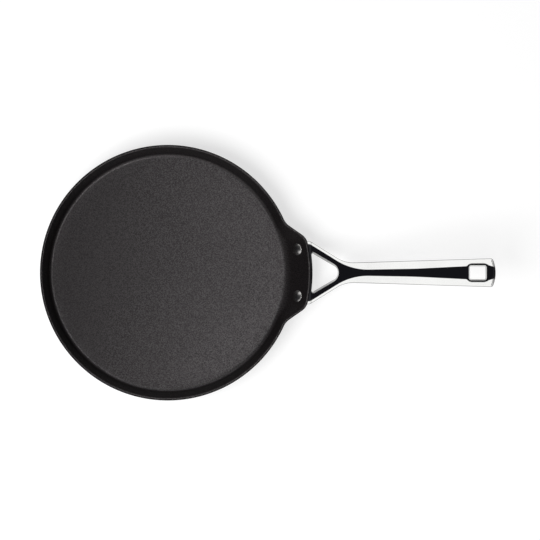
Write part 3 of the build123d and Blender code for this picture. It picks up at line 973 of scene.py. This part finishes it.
class CREPE_PAN_OT_dish(bpy.types.Operator):
    """Make the dish with its lip, its coats and the pegs in its base"""

    bl_idname = "crepe_pan.dish"
    bl_label = "Make Dish"

    # From the back round to the back: rim, neck, flank, shoulder, front, and the same in reverse
    turn_steps = (150, 22, 26, 26, 40, 26, 26, 22, 150)
    # Places of the dish's materials
    coated, hard_coated, bare = range(3)

    def azimuths(self, shape):
        stops = [-math.pi, *[-turn for turn in reversed(shape.turns)], *shape.turns, math.pi]
        turns = []
        for start, end, steps in zip(stops, stops[1:], self.turn_steps):
            turns += evenly(start, end, steps)[:-1]
        return turns

    def execute(self, context):
        sizes, plate = context.scene.pan_dish, context.scene.pan_plate
        shape = DishShape(sizes)
        turns = self.azimuths(shape)
        inside = [shape.inner_section(turn) for turn in turns]
        outside = [shape.outer_section(turn) for turn in turns]
        base = [shape.base_section(plate)] * len(turns)
        joins = [(inner[-1], outer[0]) for inner, outer in zip(inside, outside)]
        mesh = bmesh.new()
        for lines, material in (
            (inside, self.coated),
            (outside, self.hard_coated),
            (base, self.bare),
            (joins, self.coated),
        ):
            rows = [
                [(r * math.cos(turn), r * math.sin(turn), z) for r, z in line]
                for turn, line in zip(turns, lines)
            ]
            add_grid(mesh, [*rows, rows[0]], material)
        close_up(mesh)
        turned = turned_finish("turned_aluminium", sizes.bare_metal, 0.30)
        body = new_piece("dish", mesh, [coating_finish(sizes), outside_finish(sizes), turned])
        radius = plate.hole_radius - plate.seam / 2
        self.add_pegs(body.data, grown("pegs", peg_tree(), plate, hole_radius=radius, finish=turned))
        fit(body, "pan_body")
        return {"FINISHED"}

    def add_pegs(self, data, pegs):
        """Adds the pegs to the dish's mesh, flat and in the bare metal of the base."""
        both = bmesh.new()
        both.from_mesh(data)
        first_peg = len(both.faces)
        both.from_mesh(pegs)
        both.faces.ensure_lookup_table()
        for face in both.faces[first_peg:]:
            face.material_index, face.smooth = self.bare, False
        both.to_mesh(data)
        both.free()
        bpy.data.meshes.remove(pegs)


class CREPE_PAN_OT_plate(bpy.types.Operator):
    """Make the perforated steel plate in the base"""

    bl_idname = "crepe_pan.plate"
    bl_label = "Make Base Plate"

    def execute(self, context):
        plate = context.scene.pan_plate
        finish = turned_finish("turned_magnetic_steel", plate.steel, 0.26)
        radius = plate.hole_radius + plate.seam / 2
        data = grown("base_plate", plate_tree(), plate, hole_radius=radius, finish=finish)
        fit(placed("base_plate", data), "induction_plate")
        return {"FINISHED"}


class CREPE_PAN_OT_rivets(bpy.types.Operator):
    """Make the two rivets that hold the handle"""

    bl_idname = "crepe_pan.rivets"
    bl_label = "Make Rivets"

    def execute(self, context):
        dish = DishShape(context.scene.pan_dish)
        sizes, handle = context.scene.pan_rivet, context.scene.pan_handle
        finish = polished_finish("polished_rivet_steel", sizes.steel, 0.27)
        tree = rivet_tree()
        wall = dish.sizes.wall_thickness
        grip = wall + handle.seat_gap + handle.seat_thickness - 2 * sizes.seat_depth
        radius = dish.wall_radius(0.0, sizes.height, -wall)
        for name, side in (("rivet_upper", 1), ("rivet_lower", -1)):
            azimuth = side * math.asin(sizes.spacing / 2 / radius)
            lean = dish.slope(azimuth)
            across = polar(azimuth)
            place = (*(across * radius), sizes.height)
            outward = (*(across * math.sin(lean)), -math.cos(lean))
            piece_name = name + "_piece"
            data = grown(piece_name, tree, sizes, grip=grip, place=place, outward=outward, finish=finish)
            fit(placed(piece_name, data), name)
        return {"FINISHED"}


class Row:
    """One line across half of the handle: places seen from above, and how it meets the sides."""

    def __init__(self, top, bottom, land_x, side, normal=SIDEWAYS, end=0.0, lean=0.0):
        self.top = top
        self.bottom = bottom
        self.land_x = land_x
        self.side = side
        self.normal = normal
        self.end = end
        self.lean = lean


class CREPE_PAN_OT_handle(bpy.types.Operator):
    """Make the forked handle with its seat"""

    bl_idname = "crepe_pan.handle"
    bl_label = "Make Handle"

    columns = 14
    corner_steps = 4
    land_steps = 6
    flank_steps = 10
    root_rows = 5
    leg_rows = 24
    neck_rows = 12
    approach_rows = 16
    hole_rows = 12
    end_rows = 18
    corner_rows = 6
    row_pitch = 0.002
    row_rounds = 4
    end_rounds = 8

    # Part of the land's width that the columns near the axis take
    inner_share = 0.55
    # Where the straight rows start and end, in lengths of the opening before and the hole after
    first_straight = 1.45
    last_straight = 0.5
    # Most of the drawn-in underside that its rounding takes
    rounded_belly_share = 0.4
    # Far end, in softnesses: its underside's inset, its edge's rounding and its last row below
    end_belly = 0.7
    end_inset = 0.9
    end_below = 1.6
    # Width of the land's rounding, in softnesses, before a flat flank and before a steep one
    flat_round = 2.5
    steep_round = 0.6
    # Part of the edge's height by which a steep flank falls at the land's edge
    steep_share = 0.5
    # Steps of the roundings: side, underside, land, foot of the land and openings
    side_steps = 5
    belly_steps = 4
    land_round_steps = 5
    land_foot_steps = 3
    hole_steps = 4
    # Divisions of the seat, and the angle from which its edges are bevelled
    seat_corner_steps = 8
    seat_across_steps = 40
    seat_up_steps = 10
    seat_bevel_steps = 3
    sharp_angle = 0.8

    def hole_edges(self, edge, draft):
        """Grid's places along an opening's edge, on top and below."""
        soft = self.sizes.hole_softness
        top = [point - normal * soft for point, normal in edge]
        bottom = [point + normal * (amount - soft) for (point, normal), amount in zip(edge, draft)]
        return top, bottom

    def side_point(self, x):
        return Vector((x, self.shape.half_width(x)))

    def straight_row(self, x):
        shape = self.shape
        inner = shape.land(x) * self.inner_share
        below = min(inner, (shape.half_width(x) - self.sizes.belly_inset) * self.inner_share)
        top, bottom = [
            [Vector((x, y)) for y in evenly(0.0, width, self.columns)] for width in (inner, below)
        ]
        return Row(top, bottom, x, self.side_point(x))

    def between(self, first, second, steps, sides=None):
        """Rows between two rows, without both ends."""
        rows = []
        for step in range(1, steps):
            amount = step / steps
            top, bottom = [
                [a.lerp(b, amount) for a, b in zip(line, next_line)]
                for line, next_line in ((first.top, second.top), (first.bottom, second.bottom))
            ]
            side = self.side_point(mix(first.side.x, second.side.x, amount)), SIDEWAYS, 0.0
            if sides:
                side = sides[step]
            land_x, lean = mix(first.land_x, second.land_x, amount), mix(first.lean, second.lean, amount)
            rows.append(Row(top, bottom, land_x, *side, lean))
        return rows

    def arc_row_x(self, point, y, amount):
        radius = self.shape.fork_start
        return point.x + amount * (math.sqrt(radius**2 - y**2) - math.sqrt(radius**2 - point.y**2))

    def opening_rows(self, edges, drafts, curve):
        """Rows along an opening, bent like the lip at its near end by a share that fades out."""
        near, side, far = [self.hole_edges(edge, draft) for edge, draft in zip(edges, drafts)]
        last = len(edges[1]) - 1
        rows = []
        for step, (point, _) in enumerate(edges[1]):
            top, bottom = near if step == 0 else far if step == last else [[part[step]] for part in side]
            amount = curve * (1 - step / last)
            land_x = side_x = point.x
            for _ in range(self.row_rounds):
                land_x = self.arc_row_x(point, self.shape.land_edge(land_x), amount)
                side_x = self.arc_row_x(point, self.shape.half_width(side_x), amount)
            rows.append(Row(top, bottom, land_x, self.side_point(side_x)))
        return rows

    def root_row(self, near):
        """First row, which follows the outside of the lip."""
        sizes, wall_x = self.sizes, self.shape.dish.wall_x
        height, gap, side = sizes.root_height, sizes.seat_gap, sizes.root_width / 2
        top, bottom = [[Vector((wall_x(p.y, height, gap), p.y)) for p in near] for _ in range(2)]
        land_x = wall_x(self.shape.root_land, height, gap)
        return Row(top, bottom, land_x, Vector((wall_x(side, height, gap), side)), lean=1.0)

    def fork_drafts(self, side_places):
        """How far each place on the edge of the fork's opening moves inward on its way down."""
        sizes, columns, corner = self.sizes, self.columns, self.corner_steps
        slight, full, tip = sizes.opening_near_draft, sizes.opening_draft, sizes.opening_tip_draft
        growth = (full - slight) / corner / 2
        near = [slight + growth * max(0, step - columns + corner) for step in range(columns + 1)]
        side = [min(full, near[-1] + growth * step) for step in range(side_places)]
        far = [tip + (full - tip) * (step / columns) ** 2 for step in range(columns + 1)]
        return near, side, far

    def far_end(self):
        """Rounded far end: its corner's centre and radius, its bulge, and where the corner starts."""
        shape, sizes = self.shape, self.sizes
        half = shape.half_width(shape.reach)
        bulge = (half**2 + sizes.end_bulge**2) / (2 * sizes.end_bulge)
        corner = sizes.end_radius
        x = shape.reach - corner
        for _ in range(self.end_rounds):
            y = shape.half_width(x) - corner
            x = shape.reach - bulge + math.sqrt((bulge - corner) ** 2 - y**2)
        low = math.atan2(y, x - shape.reach + bulge)
        return Vector((x, y)), corner, bulge, low

    def rows(self):
        """Rows from the lip to the far end, and both openings with their first rows."""
        shape, sizes = self.shape, self.sizes
        fork = shape.opening(self.columns, self.corner_steps, self.leg_rows)
        fork_drafts = self.fork_drafts(len(fork[1]))
        legs = self.opening_rows(fork, fork_drafts, 1.0)
        root = self.root_row(legs[0].top)
        rows = [root, *self.between(root, legs[0], self.root_rows)]
        openings = [(len(rows), fork, fork_drafts)]
        neck = self.straight_row(shape.fork_start + sizes.opening_length * self.first_straight)
        rows += [*legs, *self.between(legs[-1], neck, self.neck_rows), neck]
        hole = shape.hanging_hole(self.columns, self.corner_steps, self.hole_rows)
        hole_drafts = [[sizes.hole_draft] * len(edge) for edge in hole]
        beside = self.opening_rows(hole, hole_drafts, 0.0)
        approach = hole[0][0][0].x - sizes.hole_length * self.last_straight
        steps = round((approach - neck.land_x) / self.row_pitch)
        rows += [self.straight_row(x) for x in evenly(neck.land_x, approach, steps)[1:]]
        rows += self.between(rows[-1], beside[0], self.approach_rows)
        openings.append((len(rows), hole, hole_drafts))
        last, sides = self.last_row(beside[-1])
        rows += [*beside, *self.between(beside[-1], last, self.end_rows, sides), last]
        return rows, openings

    def end_x(self, y):
        """Place along X of the far end's edge, at a distance from the axis."""
        centre, corner, bulge, low = self.end
        if y <= centre.y + corner * math.sin(low):
            return self.shape.reach - bulge + math.sqrt(bulge**2 - y**2)
        return centre.x + math.sqrt(max(corner**2 - (y - centre.y) ** 2, 0.0))

    def last_row(self, before):
        """Row at the far end, and the sides of the rows that lead to it."""
        shape, soft = self.shape, self.sizes.end_softness
        self.end = centre, corner, _, low = self.far_end()
        middle = (low + math.pi / 2) / 2
        inner = shape.land(shape.reach) * self.inner_share
        top = [Vector((self.end_x(y) - soft, y)) for y in evenly(0.0, inner, self.columns)]
        bottom = [Vector((self.end_x(p.y) - soft * self.end_below, p.y)) for p in top]
        out = polar(middle)
        last = Row(top, bottom, shape.reach - soft, centre + out * corner, out, 0.5)
        before_corner = evenly(before.side.x, centre.x, self.end_rows - self.corner_rows)
        sides = [(self.side_point(x), SIDEWAYS, 0.0) for x in before_corner]
        for amount in evenly(0.0, 1.0, self.corner_rows)[1:]:
            out = polar(mix(math.pi / 2, middle, amount))
            sides.append((centre + out * corner, out, amount / 2))
        return last, sides

    def rim_line(self, point, normal, end):
        """Places from the flank, over the side's edge and down to the underside."""
        shape, sizes = self.shape, self.sizes
        soft = sizes.end_softness
        reach = mix(sizes.side_softness, soft, end)
        belly = mix(sizes.belly_inset, soft * self.end_belly, end)
        inset = mix(soft * self.end_inset, sizes.side_softness, 1 - end)
        start = point - normal * reach
        fall = shape.drop(point.x, point.y)
        thick = shape.top(point.x) - shape.bottom(point.x)
        edge = fall + sizes.edge_height
        if edge > thick:
            edge = (fall + thick) / 2
        edge = mix(edge, thick - soft, end)
        a, b = Vector((reach, shape.drop(start.x, start.y))), Vector((0.0, fall))
        c, d, e = Vector((0.0, edge)), Vector((belly, thick)), Vector((belly + soft, thick))
        down = (edge - fall) * ROUNDED_SHARE
        low = min(inset, (d - c).length * self.rounded_belly_share)
        flat = softened(a, b, c, (a - b).length, self.side_steps, min(reach, down))
        flat += softened(b, c, d, min(inset, down), self.belly_steps, low)
        flat += softened(c, d, e, low, self.belly_steps)
        places = [(point - normal * out, fallen) for out, fallen in flat]
        line = [(place.x, place.y, shape.top(place.x) - fallen) for place, fallen in places]
        x, y, _ = line[-1]
        line[-1] = (x, y, shape.bottom(x))
        return line

    def top_line(self, row, is_last=False):
        """Places across the top, from the middle or an opening's edge to the side's edge."""
        shape, sizes = self.shape, self.sizes
        inner = [(p.x, p.y, shape.top(p.x)) for p in row.top]
        edge_y = shape.land_edge(row.land_x)
        if row.lean:
            edge_y = min(edge_y, shape.root_land)
        rim = row.side - row.normal * mix(sizes.side_softness, sizes.end_softness, row.end)
        steep_drop = self.steep_share * sizes.edge_height
        steep = min(1.0, shape.drop(row.land_x, edge_y) / steep_drop)
        wide = sizes.land_softness * mix(self.flat_round, self.steep_round, steep)
        a, b = Vector((edge_y - 1.0, 0.0)), Vector((edge_y, 0.0))
        c = Vector((edge_y + wide, shape.drop(row.land_x, edge_y + wide)))
        d = Vector((rim.y, shape.drop(row.land_x, rim.y)))
        soft = min(sizes.land_softness, (c - b).length * ROUNDED_SHARE)
        flat = softened(a, b, c, soft, self.land_round_steps)
        flat += softened(b, c, d, soft, self.land_foot_steps)
        start = row.top[-1]

        def x_at(y):
            if is_last:
                return self.end_x(y) - sizes.end_softness
            if y <= edge_y:
                return mix(start.x, row.land_x, (y - start.y) / (edge_y - start.y))
            return mix(row.land_x, rim.x, (y - edge_y) / (rim.y - edge_y))

        outer = [(x_at(y), y, 0.0) for y in evenly(start.y, flat[0][0], self.land_steps)[1:-1]]
        outer += [(x_at(y), y, fallen) for y, fallen in flat]
        for y in evenly(flat[-1][0], rim.y, self.flank_steps)[1:]:
            outer.append((x_at(y), y, shape.drop(x_at(y), y)))
        outer[-1] = (rim.x, outer[-1][1], shape.drop(rim.x, outer[-1][1]))
        return inner, [(x, y, shape.top(x) - fallen) for x, y, fallen in outer]

    def bottom_line(self, row, start, number):
        """Places across the underside, from the side's edge to the middle or an opening's edge."""
        bottom = self.shape.bottom
        inner = [(p.x, p.y, bottom(p.x)) for p in reversed(row.bottom)]
        first, last = Vector(start[:2]), row.bottom[-1]
        places = [first.lerp(last, step / number) for step in range(1, number)]
        return [(place.x, place.y, bottom(place.x)) for place in places], inner

    def leaned(self, row, line):
        """A row near the root, moved so that it follows the wall's slope on its way down."""
        if not row.lean:
            return line
        wall_x, gap, root = self.shape.dish.wall_x, self.sizes.seat_gap, self.sizes.root_height
        return [(x + row.lean * (wall_x(y, z, gap) - wall_x(y, root, gap)), y, z) for x, y, z in line]

    def grip(self):
        """Half of the fork and grip, mirrored to a whole."""
        rows, openings = self.rows()
        mesh = bmesh.new()
        tops, rims, bottoms = [], [], []
        for row in rows:
            inner, outer = self.top_line(row, row is rows[-1])
            rim = self.rim_line(row.side, row.normal, row.end)
            rim[0] = outer[-1]
            low_outer, low_inner = self.bottom_line(row, rim[-1], len(outer))
            tops.append((self.leaned(row, inner), self.leaned(row, outer)))
            rims.append(self.leaned(row, rim))
            bottoms.append((self.leaned(row, low_outer), self.leaned(row, low_inner)))
        for now in range(len(rows) - 1):
            pair = (now, now + 1)
            add_grid(mesh, [[tops[i][0][-1], *tops[i][1]] for i in pair])
            add_grid(mesh, [rims[i] for i in pair])
            add_grid(mesh, [[rims[i][-1], *bottoms[i][0], bottoms[i][1][0]] for i in pair])
            is_open = any(start <= now < start + len(edges[1]) - 1 for start, edges, _ in openings)
            if not is_open and all(len(rows[i].top) > 1 for i in pair):
                add_grid(mesh, [tops[i][0] for i in pair])
                add_grid(mesh, [bottoms[i][1] for i in pair])
        self.close_root(mesh, tops[0], rims[0], bottoms[0])
        self.close_end(mesh, tops[-1], rims[-1], bottoms[-1])
        for _, edges, drafts in openings:
            self.hole_wall(mesh, edges, drafts)
        twin = mesh.copy()
        bmesh.ops.transform(twin, matrix=Matrix.Diagonal((1, -1, 1, 1)), verts=twin.verts)
        take_in(mesh, twin)
        close_up(mesh)
        return mesh

    def facing(self, top, rim, bottom):
        """Places across the top, each with the place below it."""
        below = [*reversed(bottom[1]), *reversed(bottom[0]), rim[-1]]
        return [(Vector(a), Vector(b)) for a, b in zip([*top[0], *top[1]], below)]

    def close_root(self, mesh, top, rim, bottom):
        amounts = evenly(0.0, 1.0, len(rim) - 1)
        lines = [[a.lerp(b, amount) for amount in amounts] for a, b in self.facing(top, rim, bottom)]
        add_grid(mesh, [*lines[:-1], rim])

    def close_end(self, mesh, top, rim, bottom):
        centre, corner, bulge, low = self.end
        middle = (low + math.pi / 2) / 2
        soft = self.sizes.end_softness
        lines = []
        for a, b in self.facing(top, rim, bottom)[:-1]:
            if a.y <= centre.y + (corner - soft) * math.sin(low):
                turn, end = math.asin(min(1.0, a.y / (bulge - soft))), 1.0
            else:
                turn = math.asin(min(1.0, (a.y - centre.y) / (corner - soft * 0.5)))
                turn = min(max(turn, low), middle)
                end = 1.0 - 0.5 * (turn - low) / (middle - low)
            normal = polar(turn)
            line = [Vector(place) for place in self.rim_line(a.xy + normal * soft, normal, end)]
            line[0] = a
            shift = b - line[-1]
            amounts = evenly(0.0, 1.0, len(line) - 1)
            lines.append([place + shift * amount**2 for place, amount in zip(line, amounts)])
        add_grid(mesh, [*lines, rim])

    def hole_wall(self, mesh, edges, drafts):
        """Wall of an opening, softened at its upper and lower edge."""
        shape, soft, steps = self.shape, self.sizes.hole_softness, self.hole_steps
        near, side, far = [
            [(point, normal, amount) for (point, normal), amount in zip(edge, draft)]
            for edge, draft in zip(edges, drafts)
        ]
        lines = []
        for point, normal, amount in (*near, *side[1:-1], *reversed(far)):
            first, last = point - normal * soft, point + normal * (amount - soft)
            high, low = shape.top(point.x), shape.bottom(point.x)
            a, b = Vector((-soft, shape.top(first.x))), Vector((0.0, high))
            c, d = Vector((amount, low)), Vector((amount - soft, shape.bottom(last.x)))
            upper = softened(a, b, c, (a - b).length, steps, soft)
            lower = softened(b, c, d, soft, steps, (d - c).length)
            straight = [upper[-1].lerp(lower[0], part) for part in evenly(0.0, 1.0, steps)[:-1]]
            flat = upper[:-1] + straight + lower
            places = [(point + normal * out, height) for out, height in flat]
            lines.append([(place.x, place.y, height) for place, height in places])
        add_grid(mesh, lines)

    def seat(self):
        """Curved pad against the outside of the lip."""
        wall_x, sizes = self.shape.dish.wall_x, self.sizes
        half, corner = sizes.seat_width / 2, sizes.seat_corner_radius
        top = sizes.root_height - sizes.root_thickness / 2
        turns = evenly(0.0, math.pi / 2, self.seat_corner_steps)[:-1]
        rounded = [-half + corner * (1 - math.cos(turn)) for turn in turns]
        straight = evenly(corner - half, half - corner, self.seat_across_steps)
        across = rounded + straight + [-y for y in reversed(rounded)]
        sheets = []
        for offset in (sizes.seat_gap, sizes.seat_gap + sizes.seat_thickness):
            rows = []
            for y in across:
                past = max(0.0, abs(y) - (half - corner))
                low = sizes.seat_bottom + corner - math.sqrt(max(corner**2 - past**2, 0.0))
                heights = evenly(low, top, self.seat_up_steps)
                rows.append([(wall_x(y, z, offset), y, z) for z in heights])
            sheets.append(rows)
        pad = bmesh.new()
        inner, outer = sheets
        add_grid(pad, inner)
        add_grid(pad, outer)
        for index in (0, -1):
            add_grid(pad, [inner[index], outer[index]])
            add_grid(pad, [[row[index] for row in inner], [row[index] for row in outer]])
        close_up(pad)
        sharp = [edge for edge in pad.edges if edge.calc_face_angle(0.0) > self.sharp_angle]
        bmesh.ops.bevel(
            pad,
            geom=sharp,
            offset=sizes.side_softness,
            segments=self.seat_bevel_steps,
            profile=0.5,
            affect="EDGES",
        )
        bmesh.ops.recalc_face_normals(pad, faces=pad.faces)
        return pad

    def execute(self, context):
        self.sizes = context.scene.pan_handle
        self.shape = HandleShape(DishShape(context.scene.pan_dish), self.sizes)
        mesh = self.grip()
        take_in(mesh, self.seat())
        finish = polished_finish("polished_handle_steel", self.sizes.steel, 0.05)
        fit(new_piece("polished_handle", mesh, [finish]), "handle")
        return {"FINISHED"}


class CREPE_PAN_OT_stage(bpy.types.Operator):
    """Make the floor, the soft light and the camera"""

    bl_idname = "crepe_pan.stage"
    bl_label = "Make Stage"

    floor_radius = 9.0
    floor_sides = 96
    floor_height = -0.0001
    sensor_width = 36.0

    # Where the sky and the panel fade in or out, by parts of the direction
    sky_limits = (
        ("Z", 0.23, 0.35, 0.0, 1.0),
        ("X", -0.82, -0.66, 0.0, 1.0),
        ("X", 0.20, 0.70, 1.0, 0.0),
    )
    sky_from_side = (0.42, 0.54)
    panel_limits = (("X", -0.12, -0.05, 0.0, 1.0), ("X", 0.08, 0.16, 1.0, 0.0))

    # Place, target and diameter of the lamps; the side lamps stand on both sides
    key_lamp = ((-0.78, -0.58, 1.45), (0.1, 0.0, 0.0), 1.5)
    side_lamp = ((0.20, 0.25, 1.0), (0.05, 0.0, 0.0), 0.3)
    side_shares = ((-1, 1.0), (1, 0.64))
    lit_by_side_lamps = ("dish", "rivet_upper_piece", "rivet_lower_piece")

    def floor(self, stage):
        mesh = bmesh.new()
        bmesh.ops.create_circle(
            mesh, cap_ends=True, segments=self.floor_sides, radius=self.floor_radius
        )
        material = bpy.data.materials.new("pale_floor")
        material.use_nodes = True
        tree = material.node_tree
        tree.nodes.clear()
        matt = result(tree, "ShaderNodeBsdfDiffuse", {"Color": (*stage.floor, 1.0)})
        path = tree.nodes.new("ShaderNodeLightPath").outputs
        seen = times(tree, path["Is Camera Ray"], stage.floor_glow)
        shown = times(tree, path["Is Glossy Ray"], stage.floor_shine)
        glow = result(tree, "ShaderNodeEmission", {"Strength": plus(tree, seen, shown)})
        both = result(tree, "ShaderNodeAddShader", {0: matt, 1: glow})
        add_node(tree, "ShaderNodeOutputMaterial", {"Surface": both})
        floor = new_piece("floor", mesh, [material], smooth=False)
        floor.data.transform(Matrix.Translation((0.0, 0.0, self.floor_height)))

    def world(self, stage):
        """Soft light from both sides with a dark slot overhead along the handle."""
        world = bpy.data.worlds.new("soft_studio")
        world.use_nodes = True
        tree = world.node_tree
        tree.nodes.clear()
        parts = split(tree, tree.nodes.new("ShaderNodeTexCoord").outputs["Generated"])

        def within(limits):
            return [spread(tree, parts[axis], *numbers) for axis, *numbers in limits]

        slot = mixed(tree, times(tree, *within(self.panel_limits)), stage.slot, stage.panel)
        aside = spread(tree, math_node(tree, "ABSOLUTE", parts["Y"]), *self.sky_from_side, 0.0, 1.0)
        away = times(tree, aside, *within(self.sky_limits))
        lit = mixed(tree, away, slot, (stage.sky,) * 3)
        seen = tree.nodes.new("ShaderNodeLightPath").outputs["Is Camera Ray"]
        light = result(tree, "ShaderNodeBackground", {"Color": mixed(tree, seen, lit, (1.0, 1.0, 1.0))})
        add_node(tree, "ShaderNodeOutputWorld", {"Surface": light})
        bpy.context.scene.world = world

    def lamp(self, name, place, target, size, power, in_reflections):
        """Round soft lamp, which either lights surfaces or shows in reflections."""
        light = bpy.data.lights.new(name, "AREA")
        light.shape = "DISK"
        light.size = size
        light.energy = power
        lamp = placed(name, light)
        lamp.location = place
        lamp.rotation_euler = (Vector(target) - Vector(place)).to_track_quat("-Z", "Y").to_euler()
        lamp.visible_diffuse = not in_reflections
        lamp.visible_glossy = in_reflections
        return lamp

    def side_lamps(self, power):
        """Lamps that show in the dish and the rivets, but not in the handle."""
        receivers = bpy.data.collections.new("lit_by_side_lamps")
        for name in self.lit_by_side_lamps:
            if name in bpy.data.objects:
                receivers.objects.link(bpy.data.objects[name])
        (x, y, z), target, size = self.side_lamp
        for side, part in self.side_shares:
            lamp = self.lamp("side_lamp", (x, side * y, z), target, size, part * power, True)
            lamp.light_linking.receiver_collection = receivers

    def camera(self, stage, rim_height):
        data = bpy.data.cameras.new("overhead_camera")
        data.lens = stage.focal_length
        data.sensor_width = self.sensor_width
        distance = stage.view_width * data.lens / data.sensor_width
        data.clip_end = 4 * distance
        camera = placed("overhead_camera", data)
        camera.location = (stage.view_x, stage.view_y, rim_height + distance)
        bpy.context.scene.camera = camera

    def execute(self, context):
        stage = context.scene.pan_stage
        self.floor(stage)
        self.world(stage)
        self.lamp("key_lamp", *self.key_lamp, stage.key_power, False)
        self.side_lamps(stage.side_power)
        self.camera(stage, context.scene.pan_dish.height)
        context.scene.view_settings.view_transform = "Standard"
        return {"FINISHED"}


OPERATORS = (
    CREPE_PAN_OT_dish,
    CREPE_PAN_OT_plate,
    CREPE_PAN_OT_rivets,
    CREPE_PAN_OT_handle,
    CREPE_PAN_OT_stage,
)


class CREPE_PAN_PT_panel(bpy.types.Panel):
    """Settings and buttons for the crepe pan"""

    bl_idname = "CREPE_PAN_PT_panel"
    bl_label = "Crepe Pan"
    bl_space_type = "VIEW_3D"
    bl_region_type = "UI"
    bl_category = "Crepe Pan"

    def draw(self, context):
        for operator in OPERATORS:
            self.layout.operator(operator.bl_idname)
        for name in SETTINGS:
            group = getattr(context.scene, name)
            box = self.layout.box()
            box.label(text=name.replace("_", " ").title())
            for key in group.__annotations__:
                box.prop(group, key)


CLASSES = (*SETTINGS.values(), *OPERATORS, CREPE_PAN_PT_panel)


def register():
    for item in CLASSES:
        bpy.utils.register_class(item)
    for name, group in SETTINGS.items():
        setattr(bpy.types.Scene, name, bpy.props.PointerProperty(type=group))


def unregister():
    for name in SETTINGS:
        delattr(bpy.types.Scene, name)
    for item in reversed(CLASSES):
        bpy.utils.unregister_class(item)


def main():
    register()
    for operator in ("dish", "plate", "rivets", "handle", "stage"):
        getattr(bpy.ops.crepe_pan, operator)()


if __name__ == "__main__":
    main()
